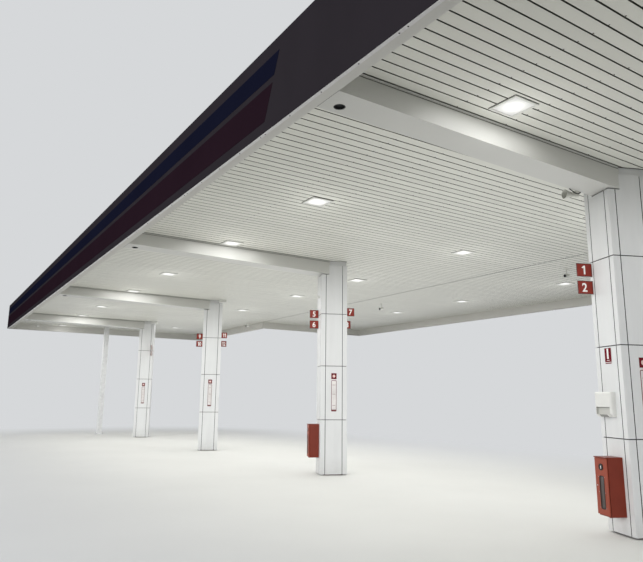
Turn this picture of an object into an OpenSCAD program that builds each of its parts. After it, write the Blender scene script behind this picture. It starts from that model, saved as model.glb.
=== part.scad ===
// Filling station canopy, one row of skewed columns.
// Origin: centre of the underside of column 1's base plate. X runs along the canopy, with the near
// end at +X. The street fascia is on the -Y side and the shop side is +Y. Z is up, sizes in mm.

/* [Plan] */
// Distance between column centres
bay = 7200; // [5400:150:9000]
// Canopy beyond the centre of the end columns
end_reach = 4200; // [3000:150:5100]
// Canopy in front of the column row
front_reach = 5050; // [3900:50:6300]
// Canopy behind the column row
back_reach = 4150; // [3600:50:5400]
// Width of the link roof towards the shop
link_w = 15700; // [9000:100:20000]
// Depth of the link roof beyond the main back edge
link_d = 5100; // [3000:50:6000]
// Turn of the columns about the vertical, in degrees
skew = 22.8; // [0:0.2:30]

/* [Heights] */
// Clear height under beams and fascia
clear_h = 4600; // [4200:50:5400]
// Drop of the beams' underside from the fascia to the column
beam_drop = 55; // [0:5:90]
// Height of the fascia
fascia_h = 1050; // [950:10:1500]
// Soffit above the underside of the beams
soffit_rise = 260; // [200:10:320]
// Fall of the roof sheets, in degrees
roof_fall = 1.5; // [0.5:0.1:2]

/* [Fascia and soffit] */
// Width of the fascia box, seen as the white band from below
band_w = 150; // [120:5:220]
// Thickness of fascia and beam casing
skin = 15; // [8:1:25]
// Pitch of the soffit pans
pan_pitch = 150; // [100:10:200]
// Open joint between two pans
pan_gap = 18; // [10:1:25]
// Depth of a pan
pan_t = 45; // [30:5:70]
// Width of the cased beam
beam_w = 400; // [320:10:500]
// Radius of the round hole in the beam's underside
beam_hole_r = 55; // [30:5:80]
// Side of a square downlight
light_w = 380; // [300:10:450]
// Foot of the maroon stripe above the fascia's lower edge
maroon_z = 135; // [60:5:200]
// Height of the maroon stripe
maroon_h = 405; // [200:5:500]
// Grey line between the two stripes
line_h = 80; // [30:5:120]
// Height of the blue stripe
blue_h = 255; // [120:5:300]
// Lean of the stripes' near end, in degrees from the vertical
stripe_lean = 23; // [0:1:35]

/* [Columns] */
// Width of a clad column, across
col_w = 540; // [480:5:700]
// Depth of a clad column, front to back
col_d = 610; // [540:5:800]
// Width of the corner strips on the front and back faces
strip_w = 90; // [60:2:140]
// Width of the corner strips on the side faces
strip_d = 110; // [60:2:160]
// Height of one cladding panel
panel_h = 1200; // [1000:50:1400]
// Open joint between cladding panels
joint = 13; // [8:1:20]
// Thickness of a cladding panel
panel_t = 20; // [12:1:25]
// Recessed collar between the cladding and the soffit
head_gap = 105; // [30:1:160]
// Side of the steel H post
post_w = 300; // [250:10:340]
// Side of the square base plate
plate_w = 440; // [400:10:460]
// Bolt circle of the base plate
bolt_pcd = 500; // [450:10:540]
// Radius of an anchor bolt hole
bolt_r = 16; // [10:1:22]

/* [Fittings] */
// Width of an extinguisher cabinet
cab_w = 245; // [200:5:320]
// Depth of an extinguisher cabinet with its door
cab_d = 235; // [180:5:280]
// Height of an extinguisher cabinet
cab_h = 730; // [600:10:900]
// Width of a number flag
flag_w = 210; // [150:5:230]
// Height of a number flag
flag_h = 188; // [130:2:230]
// Side of the slim end post
slim_w = 200; // [120:10:250]

/* [Hidden] */

bays = 3;
x_near = end_reach;
x_far = -bays * bay - end_reach;
y_front = -front_reach;
y_back = back_reach;
link_x = -bays * bay / 2;
link_x0 = link_x - link_w / 2;
link_x1 = link_x + link_w / 2;
y_link = back_reach + link_d;
soffit_z = clear_h + soffit_rise;
soffit_top = soffit_z + pan_t;
fascia_top = clear_h + fascia_h;
seat_gap = 0.3;
link_joint = 14;

// Column section: a core tube with recessed joints between the panels
core_t = 20;
core_w = col_w - 2 * panel_t;
core_d = col_d - 2 * panel_t;
hollow_w = core_w - 2 * core_t;
hollow_d = core_d - 2 * core_t;
foot_gap = 20;
plate_t = 30;
flange_t = 20;
web_t = 14;
stay_t = 10;

// Beam casing, from the fascia's band into the head of the column
beam_y0 = y_front + band_w;
beam_y1 = -post_w / 2 * (cos(skew) + sin(skew)) - 5;
beam_hole_x = -70;
beam_hole_y = beam_y0 + 197;
head_joint = 14;
trim_t = 5;
trim_h = 30;
trim_leg = 22;
trim_gap = 3;

// Rafters: deep in front of the columns, shallow above the soffit behind them
rafter_w = 180;
rafter_flange = 17;
rafter_seat = clear_h + 2 * skin;
rafter_back = soffit_top + 12;
gutter_w = 260;
gutter_h = 130;
gutter_t = 6;
gutter_z = rafter_back + 90;
gutter_y1 = y_back - band_w;
gutter_y0 = gutter_y1 - gutter_w;
rafter_low = gutter_z + 40;
purlin_h = 110;
purlin_w = 60;
purlin_step = 1400;
sheet_t = 8;
rib_h = 32;
rib_pitch = 240;

// Fascia trims and stripes; the stripes end short of the sign's place over column 1
corner_w = 55;
corner_t = 5;
inner_corner_near = 3;
inner_corner_far = 6;
stripe_t = 3;
stripe_gap = 3;
stripe_end = -1060;

light_proud = 14;
light_h = 90;
light_rim = 30;
light_lid = 12;
pan_groove = 0.6 * pan_t;
light_in = (beam_w + light_w) / 2 + trim_leg + 2;
front_light_y = -2830;
back_light_y = 1720;
link_light_y = 6680;
// Downlight places from each beam, and in the link roof from the two middle beams
front_light_x = [[590, -3430], [light_in, -3540], [light_in, -3560], [560, -3650]];
back_light_x = [2610, -1335];
link_light_x = [1610, -2285];

cab_z = [237, 370];
cab_wall = 12;
door_t = 18;
door_gap = 5;
pin_r = 4;
barrel_r = 9;
pin_play = 0.3;
window_x = 45;
window_z = [92, 488];
window_deep = 6;
lock_z = 604;
lock_r = 36;
lock_h = 6;

// Top edge of the upper flag on each column
flag_top = [3582, 3732, 3765, 3828];
flag_step = 250;
back_rise = 22;
near_flag_w = flag_w + 24;
back_flag_w = flag_w - 32;
flag_t = 6;
near_flag_x = -219;
flag_x = -120;
back_flag_x = [240, -150];
side_flag_y = 240;

notice_w = 128;
notice_h = 859;
notice_z = 1382;
fire_plate_w = 140;
fire_plate_z = [2165, 2377];
sign_t = 4;

towel_w = 340;
towel_d = 78;
towel_h = 325;
towel_r = 28;
towel_edge = 20;
towel_foot = 42;
towel_slot_w = 284;
towel_slot_z = [30, 128];
towel_slot_d = 32;
towel_outlet_w = 190;
towel_outlet_y = [-32, -12];
towel_x = -90;
towel_z = 1470;

// Mouth of the horn speaker beyond beam 1, its turn from straight at the street, and its bracket
horn_at = [-319, -706, 4518];
horn_turn = 19.6;
horn_r = 66;
horn_l = 130;
horn_t = 5;
driver_r = 28;
driver_l = 92;
bracket_x = -290;
bracket_y = [-565, -515];
bracket_z = [4538, 4578];

// Cameras in plan, and how far they hang down
camera_drop = 120;
camera_at = [
    [link_x1 - 1440, y_back + 920], [-bay - 4320, y_back + 770],
    [-2 * bay - 4600, y_back - 630], [x_far + 1100, y_front + 1090]
];

// Lamps at two column heads, and the small box on column 2
head_lamp_w = 200;
head_lamp_h = 95;
head_lamp_y = [col_d / 2 - 130, col_d / 2 + 110];
small_box_x = [-80, 20];
small_box_z = [4010, 4070];
small_box_d = 40;

slim_x = x_far + 1430;
slim_y = -1070;
slim_t = 8;
slim_foot_w = slim_w + 120;
slim_foot_t = 20;

function col_x(i) = -i * bay;

// Height of the beams' underside at a place along them
function beam_under(y) = clear_h - beam_drop * (y - beam_y0) / (beam_y1 - beam_y0);

// Edge between two soffit zones, on the open joint just before beam i
function pan_edge(i) = col_x(i) + pan_pitch / 2;

// Corners of the T-shaped plan, moved inwards by d
function ring(d) = [
    [x_far + d, y_front + d], [x_near - d, y_front + d], [x_near - d, y_back - d],
    [link_x1 - d, y_back - d], [link_x1 - d, y_link - d], [link_x0 + d, y_link - d],
    [link_x0 + d, y_back - d], [x_far + d, y_back - d]
];

// A box given by its low and high corners
module span(a, b) {
    translate(a) cube(b - a);
}

// Places children in the turned frame of column i
module at_column(i) {
    translate([col_x(i), 0, 0]) rotate([0, 0, -skew]) children();
}

// A side profile in Y and Z, made w wide across X
module across(x, w) {
    translate([x - w / 2, 0, 0]) rotate([90, 0, 90]) linear_extrude(w) children();
}

module h_section(w, h, flange, web) {
    translate([-w / 2, -h / 2]) square([w, flange]);
    translate([-w / 2, h / 2 - flange]) square([w, flange]);
    translate([-web / 2, -h / 2]) square([web, h]);
}

module column_post(i) {
    color("dimgray") at_column(i) {
        difference() {
            translate([-plate_w / 2, -plate_w / 2, 0]) cube([plate_w, plate_w, plate_t]);
            for (a = [45 : 90 : 315])
                rotate([0, 0, a]) translate([bolt_pcd / 2, 0, -1])
                    cylinder(r = bolt_r, h = plate_t + 2, $fn = 32);
        }
        linear_extrude(rafter_seat) h_section(post_w, post_w, flange_t, web_t);
        translate([-post_w / 2, -post_w / 2, rafter_seat - flange_t]) cube([post_w, post_w, flange_t]);
        // Stays that hold the cladding, one behind the middle of each panel
        for (n = [0 : floor(clear_h / panel_h)])
            translate([-hollow_w / 2, -hollow_d / 2, (n + 0.5) * panel_h])
                cube([hollow_w, hollow_d, stay_t]);
    }
}

module ring_groove(z, h) {
    difference() {
        translate([-col_w, -col_d, z]) cube([2 * col_w, 2 * col_d, h]);
        translate([-core_w / 2, -core_d / 2, z - 1]) cube([core_w, core_d, h + 2]);
    }
}

// Upright joints beside the corner strips, on all four faces
module upright_grooves() {
    for (s = [-1, 1], t = [-1, 1]) {
        translate([s * (col_w / 2 - strip_w) - joint / 2, t * (core_d / 2 + panel_t / 2) - panel_t / 2, 0])
            cube([joint, panel_t, soffit_z]);
        translate([t * (core_w / 2 + panel_t / 2) - panel_t / 2, s * (col_d / 2 - strip_d) - joint / 2, 0])
            cube([panel_t, joint, soffit_z]);
    }
}

module column_cladding(i) {
    color("white") difference() {
        at_column(i) difference() {
            translate([-col_w / 2, -col_d / 2, foot_gap]) cube([col_w, col_d, soffit_z - foot_gap]);
            translate([-hollow_w / 2, -hollow_d / 2, 0]) cube([hollow_w, hollow_d, soffit_z + 1]);
            for (z = [panel_h : panel_h : soffit_z - 2 * head_gap])
                ring_groove(z - joint / 2, joint);
            ring_groove(soffit_z - head_gap, head_gap + 1);
            upright_grooves();
        }
        beam_notch(i);
    }
}

// Space that a beam's casing takes out of the head of its column
module beam_notch(i) {
    across(col_x(i), beam_w) polygon([
        [beam_y0, beam_under(beam_y0) - head_joint], [beam_y1, beam_under(beam_y1) - head_joint],
        [beam_y1, soffit_top + 1], [beam_y0, soffit_top + 1]
    ]);
}

// The boxed beam from the fascia band into the column's head, open at the top and at both ends
module beam_casing(i) {
    x = col_x(i);
    color("white") difference() {
        across(x, beam_w) polygon([
            [beam_y0, beam_under(beam_y0)], [beam_y1, beam_under(beam_y1)],
            [beam_y1, soffit_top], [beam_y0, soffit_top]
        ]);
        across(x, beam_w - 2 * skin) polygon([
            [beam_y0 - 1, beam_under(beam_y0 - 1) + skin], [beam_y1 + 1, beam_under(beam_y1 + 1) + skin],
            [beam_y1 + 1, soffit_top + 1], [beam_y0 - 1, soffit_top + 1]
        ]);
        translate([x + beam_hole_x, beam_hole_y, clear_h - beam_drop])
            cylinder(r = beam_hole_r, h = beam_drop + 3 * skin, $fn = 48);
    }
}

// Angle trim in the corner of beam side and soffit, on both sides of each beam up to the column
module beam_trims() {
    x0 = beam_w / 2;
    x1 = x0 + trim_leg;
    color("white") for (i = [0 : bays], side = [-1, 1]) {
        y1 = min(column_front(side * x0), column_front(side * x1)) - trim_gap;
        translate([col_x(i), y1, soffit_z]) rotate([90, 0, 0]) linear_extrude(y1 - beam_y0)
            polygon([for (p = [
                [x0, 0], [x1, 0], [x1, -trim_t],
                [x0 + trim_t, -trim_t], [x0 + trim_t, -trim_h], [x0, -trim_h]
            ]) [side * p[0], p[1]]]);
    }
}

// Place where a line along the canopy at x from the column's centre meets the turned column
function column_front(x) = max(
    -(col_d / 2 + x * sin(skew)) / cos(skew),
    (x - col_w / 2 / cos(skew)) / tan(skew)
);

function main_top(y) = rafter_low + (gutter_y0 - y) * tan(roof_fall);
function link_top(y) = rafter_low + (y - y_back) * tan(roof_fall);

// Side profile of a rafter, moved inwards by t at its top and bottom edges
function rafter_outline(linked, t) = concat(
    [[y_front + band_w, rafter_seat + t], [post_w / 2, rafter_seat + t], [post_w / 2, rafter_back + t]],
    linked
        ? [[y_link - band_w, rafter_back + t], [y_link - band_w, link_top(y_link - band_w) - t],
           [y_back, rafter_low - t], [y_back, gutter_z - t]]
        : [[y_back - band_w, rafter_back + t], [y_back - band_w, gutter_z - t]],
    [[gutter_y0 - 20, gutter_z - t], [gutter_y0 - 20, main_top(gutter_y0 - 20) - t],
     [y_front + band_w, main_top(y_front + band_w) - t]]
);

module rafter(i) {
    linked = i > 0 && i < bays;
    across(col_x(i), web_t) polygon(rafter_outline(linked, 0));
    across(col_x(i), rafter_w) difference() {
        polygon(rafter_outline(linked, 0));
        polygon(rafter_outline(linked, rafter_flange));
    }
}

module rafters() {
    color("dimgray") for (i = [0 : bays]) rafter(i);
}

module main_purlin(y) {
    translate([x_far + band_w, y, main_top(y) + seat_gap]) rotate([-roof_fall, 0, 0])
        cube([x_near - x_far - 2 * band_w, purlin_w, purlin_h]);
}

module link_purlin(y) {
    translate([link_x0 + band_w, y, link_top(y) + seat_gap]) rotate([roof_fall, 0, 0])
        cube([link_w - 2 * band_w, purlin_w, purlin_h]);
}

module purlins() {
    color("silver") {
        for (y = [y_front + band_w + 60 : purlin_step : gutter_y0 - purlin_w - 40]) main_purlin(y);
        main_purlin(gutter_y0 - purlin_w - 40);
        for (y = [y_back + 40 : purlin_step : y_link - band_w - purlin_w - 400]) link_purlin(y);
        link_purlin(y_link - band_w - purlin_w - 20);
    }
}

// Ribbed sheet, w wide and l long, with its underside on z = 0
module ribbed_sheet(w, l) {
    n = floor(w / rib_pitch);
    edge = (w - n * rib_pitch) / 2;
    top = concat([[0, 0]], [for (k = [0 : n - 1], p = [[0.3, 0], [0.4, rib_h], [0.6, rib_h], [0.7, 0]])
        [edge + (k + p[0]) * rib_pitch, p[1]]], [[w, 0]]);
    low = [for (k = [len(top) - 1 : -1 : 0]) top[k]];
    translate([0, l, 0]) rotate([90, 0, 0]) linear_extrude(l)
        polygon(concat(low, [for (p = top) p + [0, sheet_t]]));
}

module roof_sheet_main() {
    l = (gutter_y0 + 60 - y_front - band_w) / cos(roof_fall) - 20;
    color("lightgray")
        translate([x_far + band_w, y_front + band_w, main_top(y_front + band_w)]) rotate([-roof_fall, 0, 0])
            translate([0, 8, purlin_h + 2 * seat_gap]) ribbed_sheet(x_near - x_far - 2 * band_w, l);
}

module roof_sheet_link() {
    y0 = gutter_y1 - 60;
    l = (y_link - band_w - y0) / cos(roof_fall) - 10;
    color("lightgray")
        translate([link_x0 + band_w, y0, link_top(y0)]) rotate([roof_fall, 0, 0])
            translate([0, 0, purlin_h + 2 * seat_gap]) ribbed_sheet(link_w - 2 * band_w, l);
}

module box_gutter() {
    color("gray") difference() {
        span([x_far + band_w, gutter_y0, gutter_z], [x_near - band_w, gutter_y1, gutter_z + gutter_h]);
        span([x_far + band_w + gutter_t, gutter_y0 + gutter_t, gutter_z + gutter_t],
             [x_near - band_w - gutter_t, gutter_y1 - gutter_t, gutter_z + gutter_h + 1]);
    }
}

// One layer of the fascia along side k of the plan, between two insets
module fascia_layer(k, d0, d1, z0, z1) {
    a = ring(d0);
    b = ring(d1);
    m = (k + 1) % len(a);
    translate([0, 0, z0]) linear_extrude(z1 - z0) polygon([a[k], a[m], b[m], b[k]]);
}

// Upright trim on the outer face at corner m of the plan, on the length that runs along side k
module corner_trim(k, m) {
    p = ring(0)[m];
    intersection() {
        fascia_layer(k, -corner_t, 0, clear_h, fascia_top);
        translate([p[0] - corner_w, p[1] - corner_w, clear_h]) cube([2 * corner_w, 2 * corner_w, fascia_h]);
    }
}

// A mitred box length: outer face, white band below, upstand inside and cap on top
module fascia(k) {
    m = (k + 1) % len(ring(0));
    color([0.36, 0.34, 0.37]) {
        fascia_layer(k, 0, skin, clear_h, fascia_top);
        fascia_layer(k, band_w - skin, band_w, clear_h, fascia_top);
        fascia_layer(k, 0, band_w, clear_h, clear_h + skin);
        fascia_layer(k, 0, band_w, fascia_top - skin, fascia_top);
        for (c = [k, m]) if (c != inner_corner_near && c != inner_corner_far) corner_trim(k, c);
    }
}

// A stripe from z0 up to z1 along the front, with a leaning near end, and along both ends
module stripes(z0, z1) {
    in0 = corner_w + stripe_gap;
    x0 = stripe_end + (z0 - clear_h - maroon_z) * tan(stripe_lean);
    x1 = stripe_end + (z1 - clear_h - maroon_z) * tan(stripe_lean);
    translate([0, y_front, 0]) rotate([90, 0, 0]) linear_extrude(stripe_t)
        polygon([[x_far + in0, z0], [x0, z0], [x1, z1], [x_far + in0, z1]]);
    span([x_far - stripe_t, y_front + in0, z0], [x_far, y_back - in0, z1]);
    span([x_near, y_front + in0, z0], [x_near + stripe_t, y_back - in0, z1]);
}

module maroon_stripes() {
    z0 = clear_h + maroon_z;
    color([0.29, 0.12, 0.16]) stripes(z0, z0 + maroon_h);
}

module blue_stripes() {
    z0 = clear_h + maroon_z + maroon_h + line_h;
    color([0.12, 0.14, 0.31]) stripes(z0, z0 + blue_h);
}

module light_cut(x, y) {
    w = light_w - light_rim;
    span([x - w / 2, y - w / 2, soffit_z - 1], [x + w / 2, y + w / 2, soffit_top + 1]);
}

// Calls children at every downlight
module each_light() {
    for (i = [0 : bays]) {
        for (x = front_light_x[i]) translate([col_x(i) + x, front_light_y, 0]) children();
        for (x = back_light_x) translate([col_x(i) + x, back_light_y, 0]) children();
    }
    for (i = [1 : bays - 1], x = link_light_x) translate([col_x(i) + x, link_light_y, 0]) children();
}

// Grooved pan ceiling between two X positions, with a joint at edge, cut round beams, columns and lights
module soffit_zone(x0, x1, y0, y1, edge) {
    first = ceil((x0 - pan_gap - edge) / pan_pitch);
    last = floor((x1 + pan_gap - edge) / pan_pitch);
    color("whitesmoke") difference() {
        span([x0, y0, soffit_z], [x1, y1, soffit_top]);
        for (k = [first : last], x = edge + k * pan_pitch)
            span([x - pan_gap / 2, y0 - 1, soffit_z - 1], [x + pan_gap / 2, y1 + 1, soffit_z + pan_groove]);
        for (i = [0 : bays]) {
            span([col_x(i) - beam_w / 2, y_front, soffit_z - 1],
                 [col_x(i) + beam_w / 2, 0, soffit_top + 1]);
            at_column(i) translate([-col_w / 2, -col_d / 2, soffit_z - 1]) cube([col_w, col_d, pan_t + 2]);
        }
        each_light() light_cut(0, 0);
    }
}

module soffit_main(x0, x1, edge) {
    soffit_zone(x0, x1, y_front + band_w, y_back - band_w, edge);
}

module soffit_link() {
    soffit_zone(link_x0 + band_w, link_x1 - band_w, y_back - band_w + link_joint, y_link - band_w, pan_edge(1));
}

module downlight_frames() {
    inner = light_w - 2 * light_rim;
    body = light_w - light_rim - 2 * seat_gap;
    color("white") each_light() difference() {
        union() {
            span([-light_w / 2, -light_w / 2, soffit_z - light_proud],
                 [light_w / 2, light_w / 2, soffit_z]);
            span([-body / 2, -body / 2, soffit_z - 1], [body / 2, body / 2, soffit_z + light_h]);
        }
        span([-inner / 2, -inner / 2, soffit_z - light_proud - 1],
             [inner / 2, inner / 2, soffit_z + light_h - light_lid]);
    }
}

module downlight_lenses() {
    inner = light_w - 2 * light_rim;
    color("lightyellow") each_light()
        span([-inner / 2, -inner / 2, soffit_z - light_proud + 6], [inner / 2, inner / 2, soffit_z]);
}

// A plate flag, w wide, that stands out of the front (side = -1) or back (side = 1) of a column
module flag(side, x, top, w) {
    y = side * (col_d / 2 + w / 2);
    span([x - flag_t / 2, y - w / 2, top - flag_h], [x + flag_t / 2, y + w / 2, top]);
}

// A plate flag that stands out of the near face of a column
module side_flag(y, top) {
    span([col_w / 2, y - flag_t / 2, top - flag_h], [col_w / 2 + flag_w, y + flag_t / 2, top]);
}

module number_flags() {
    color("firebrick") {
        for (n = [0, 1], drop = n * flag_step) {
            at_column(0) flag(-1, near_flag_x, flag_top[0] - drop, near_flag_w);
            for (i = [1 : bays - 1]) at_column(i) flag(-1, flag_x, flag_top[i] - drop, flag_w);
            for (i = [0 : bays - 1])
                at_column(i) flag(1, back_flag_x[n], flag_top[i] + back_rise - drop, back_flag_w);
            at_column(bays) side_flag(side_flag_y, flag_top[bays] - drop);
        }
    }
}

module sign_plate(size_y, z0, z1) {
    span([col_w / 2, -size_y / 2, z0], [col_w / 2 + sign_t, size_y / 2, z1]);
}

module sign_plates() {
    color("whitesmoke") {
        for (i = [0 : bays]) at_column(i) sign_plate(notice_w, notice_z, notice_z + notice_h);
        at_column(0)
            span([-fire_plate_w / 2, -col_d / 2 - sign_t, fire_plate_z[0]],
                 [fire_plate_w / 2, -col_d / 2, fire_plate_z[1]]);
    }
}

// Cabinet frame: x across, -y out of the column's front face, z from the cabinet's bottom
module at_cabinet(i) {
    at_column(i) translate([0, -col_d / 2, cab_z[i]]) children();
}

hinge_x = cab_w / 2 - barrel_r;
hinge_y = -(cab_d - door_t / 2);
body_front = -(cab_d - door_t - door_gap);

module cabinet_body(i) {
    color("firebrick") at_cabinet(i) {
        difference() {
            span([-cab_w / 2, body_front, 0], [cab_w / 2, 0, cab_h]);
            span([-cab_w / 2 + cab_wall, body_front - 1, cab_wall],
                 [cab_w / 2 - cab_wall, -cab_wall, cab_h - cab_wall]);
        }
        // Top lip over the door, foot lug and hinge pin
        span([-cab_w / 2, -cab_d - 12, cab_h - cab_wall], [cab_w / 2, body_front + 1, cab_h]);
        span([cab_w / 2 - 2 * barrel_r, hinge_y - barrel_r, 0], [cab_w / 2, body_front + 1, cab_wall]);
        translate([hinge_x, hinge_y, cab_wall / 2]) cylinder(r = pin_r, h = cab_h - cab_wall, $fn = 24);
    }
}

module cabinet_door(i) {
    low = cab_wall + door_gap;
    high = cab_h - cab_wall - door_gap;
    color("crimson") at_cabinet(i) difference() {
        union() {
            span([-cab_w / 2, -cab_d, low], [hinge_x, -cab_d + door_t, high]);
            translate([hinge_x, hinge_y, low]) cylinder(r = barrel_r, h = high - low, $fn = 32);
            translate([0, -cab_d + 1, lock_z]) rotate([90, 0, 0])
                cylinder(r = lock_r, h = lock_h + 1, $fn = 40);
        }
        translate([hinge_x, hinge_y, low - 1]) cylinder(r = pin_r + pin_play, h = high - low + 2, $fn = 24);
        span([-window_x, -cab_d - 1, window_z[0]], [window_x, -cab_d + window_deep, window_z[1]]);
    }
}

// Towel dispenser: rounded front corners, a chamfered foot, a wide slot and an outlet below it
module towel_dispenser() {
    core = towel_w - 2 * towel_r;
    color("whitesmoke") at_column(0) translate([towel_x, -col_d / 2, towel_z]) difference() {
        intersection() {
            linear_extrude(towel_h) {
                translate([-towel_w / 2, towel_r - towel_d]) square([towel_w, towel_d - towel_r]);
                translate([-core / 2, -towel_d]) square([core, towel_d]);
                for (side = [-1, 1])
                    translate([side * core / 2, towel_r - towel_d]) circle(r = towel_r, $fn = 48);
            }
            across(0, towel_w + 2) polygon([
                [0, 0], [towel_foot - towel_d, 0], [-towel_d, towel_foot], [-towel_d, towel_h - towel_edge],
                [towel_edge - towel_d, towel_h], [0, towel_h]
            ]);
        }
        span([-towel_slot_w / 2, -towel_d - 1, towel_slot_z[0]],
             [towel_slot_w / 2, -towel_d + towel_slot_d, towel_slot_z[1]]);
        span([-towel_outlet_w / 2, towel_outlet_y[0], -1], [towel_outlet_w / 2, towel_outlet_y[1], 20]);
    }
}

// Open horn with its driver behind, held by a bracket on the side of beam 1
module horn_speaker() {
    span([bracket_x, bracket_y[0], bracket_z[0]], [-beam_w / 2, bracket_y[1], bracket_z[1]]);
    translate(horn_at) rotate([90, 0, -horn_turn]) {
        translate([0, 0, -horn_l - driver_l]) cylinder(r = driver_r, h = driver_l + horn_t, $fn = 32);
        difference() {
            translate([0, 0, -horn_l]) cylinder(r1 = driver_r, r2 = horn_r, h = horn_l, $fn = 48);
            translate([0, 0, 2 * horn_t - horn_l])
                cylinder(r1 = driver_r - horn_t, r2 = horn_r - horn_t, h = horn_l, $fn = 48);
        }
    }
}

// Small camera that hangs from the soffit and looks towards the street
module soffit_camera() {
    translate([0, 0, soffit_z - 12]) cylinder(r = 45, h = 12 - seat_gap, $fn = 32);
    translate([0, 0, soffit_z - camera_drop]) cylinder(r = 10, h = camera_drop - seat_gap, $fn = 24);
    translate([0, 60, soffit_z - camera_drop - 30]) rotate([100, 0, 0]) cylinder(r = 42, h = 130, $fn = 32);
}

module ceiling_fittings() {
    color("gainsboro") {
        horn_speaker();
        for (p = camera_at) translate(p) soffit_camera();
        // Lamps at the head of the two far columns, on their back near corner
        for (i = [2, 3]) at_column(i)
            span([col_w / 2, head_lamp_y[0], soffit_z - head_lamp_h],
                 [col_w / 2 + head_lamp_w, head_lamp_y[1], soffit_z]);
        // Small box on the front of column 2
        at_column(1) span([small_box_x[0], -col_d / 2 - small_box_d, small_box_z[0]],
                          [small_box_x[1], -col_d / 2, small_box_z[1]]);
    }
}

module slim_post() {
    color("white") translate([slim_x, slim_y, 0]) {
        difference() {
            span([-slim_w / 2, -slim_w / 2, 0], [slim_w / 2, slim_w / 2, soffit_z]);
            span([-slim_w / 2 + slim_t, -slim_w / 2 + slim_t, slim_foot_t],
                 [slim_w / 2 - slim_t, slim_w / 2 - slim_t, soffit_z + 1]);
        }
        span([-slim_foot_w / 2, -slim_foot_w / 2, 0], [slim_foot_w / 2, slim_foot_w / 2, slim_foot_t]);
    }
}

column_post(0);  // column_1_post
column_post(1);  // column_2_post
column_post(2);  // column_3_post
column_post(3);  // column_4_post
column_cladding(0);  // column_1_cladding
column_cladding(1);  // column_2_cladding
column_cladding(2);  // column_3_cladding
column_cladding(3);  // column_4_cladding
beam_casing(0);  // beam_1_casing
beam_casing(1);  // beam_2_casing
beam_casing(2);  // beam_3_casing
beam_casing(3);  // beam_4_casing
beam_trims();
rafters();
purlins();
roof_sheet_main();
roof_sheet_link();
box_gutter();
fascia(0);  // fascia_front
fascia(1);  // fascia_near_end
fascia(2);  // fascia_back_near
fascia(3);  // fascia_link_near
fascia(4);  // fascia_link_back
fascia(5);  // fascia_link_far
fascia(6);  // fascia_back_far
fascia(7);  // fascia_far_end
maroon_stripes();
blue_stripes();
soffit_main(pan_edge(0), x_near - band_w, pan_edge(0));  // soffit_near_end
soffit_main(pan_edge(1), pan_edge(0), pan_edge(0));  // soffit_bay_1
soffit_main(pan_edge(2), pan_edge(1), pan_edge(1));  // soffit_bay_2
soffit_main(pan_edge(3), pan_edge(2), pan_edge(2));  // soffit_bay_3
soffit_main(x_far + band_w, pan_edge(3), pan_edge(3));  // soffit_far_end
soffit_link();
downlight_frames();
downlight_lenses();
number_flags();
cabinet_body(0);  // cabinet_1_body
cabinet_door(0);  // cabinet_1_door
cabinet_body(1);  // cabinet_2_body
cabinet_door(1);  // cabinet_2_door
towel_dispenser();
sign_plates();
ceiling_fittings();
slim_post();
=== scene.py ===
"""Finishes, small fittings, light and view of a filling station canopy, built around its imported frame."""

import math

import bmesh
import bpy
from bpy.props import FloatProperty, FloatVectorProperty, PointerProperty
from mathutils import Matrix, Vector


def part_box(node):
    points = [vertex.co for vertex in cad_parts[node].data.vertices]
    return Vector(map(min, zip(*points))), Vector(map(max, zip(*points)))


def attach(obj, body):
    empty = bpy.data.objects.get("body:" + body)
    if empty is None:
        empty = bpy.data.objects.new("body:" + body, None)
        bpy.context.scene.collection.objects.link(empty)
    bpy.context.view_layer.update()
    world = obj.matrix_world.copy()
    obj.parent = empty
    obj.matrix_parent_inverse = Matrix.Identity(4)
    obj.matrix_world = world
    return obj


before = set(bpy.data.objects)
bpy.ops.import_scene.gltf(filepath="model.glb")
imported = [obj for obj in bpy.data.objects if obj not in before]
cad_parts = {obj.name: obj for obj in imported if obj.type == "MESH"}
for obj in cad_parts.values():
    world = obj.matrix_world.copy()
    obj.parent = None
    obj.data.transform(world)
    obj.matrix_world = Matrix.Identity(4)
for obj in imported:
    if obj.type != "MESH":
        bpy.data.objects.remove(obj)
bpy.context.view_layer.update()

bl_info = {
    "name": "Filling station canopy",
    "version": (1, 0, 0),
    "blender": (4, 5, 0),
    "location": "3D View > Sidebar > Canopy",
    "description": "Finishes and small fittings of a filling station canopy",
    "category": "Object",
}

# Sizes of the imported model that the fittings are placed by, in metres
BAY = 7.2
COLUMNS = 4
SKEW = math.radians(22.8)
COLUMN_W, COLUMN_D = 0.54, 0.61
CLEAR_Z, SOFFIT_Z = 4.6, 4.86
BAND_W, BEAM_W = 0.15, 0.4
X_NEAR, X_FAR = 4.2, -25.8
Y_FRONT, Y_BACK, Y_LINK = -5.05, 4.15, 9.25
LINK_NEAR, LINK_FAR = -2.95, -18.65
PAN_PITCH = 0.15
BEAM_HOLE_X, BEAM_HOLE_Y = -0.07, Y_FRONT + BAND_W + 0.197
NEAR_FLAG_W, FLAG_W, BACK_FLAG_W = 0.234, 0.21, 0.178
FLAG_H, FLAG_STEP, FLAG_T = 0.188, 0.25, 0.006
FLAG_TOPS = (3.582, 3.732, 3.765, 3.828)
FRONT_FLAG_X, BACK_FLAG_X, FAR_FLAG_Y = (-0.219, -0.12, -0.12), (0.24, -0.15), 0.24
BACK_RISE = 0.022
CABINET_Z, CABINET_D, DOOR_T = (0.237, 0.370), 0.235, 0.018
NOTICE_W, NOTICE_H, NOTICE_Z = 0.128, 0.859, 1.382
SMALL_PLATE_W, SMALL_PLATE_Z = 0.14, (2.165, 2.377)
SIGN_T = 0.004
CAMERAS = ((-4.39, 5.07), (-11.52, 4.92), (-19.0, 3.52), (-24.7, -3.96))
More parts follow.
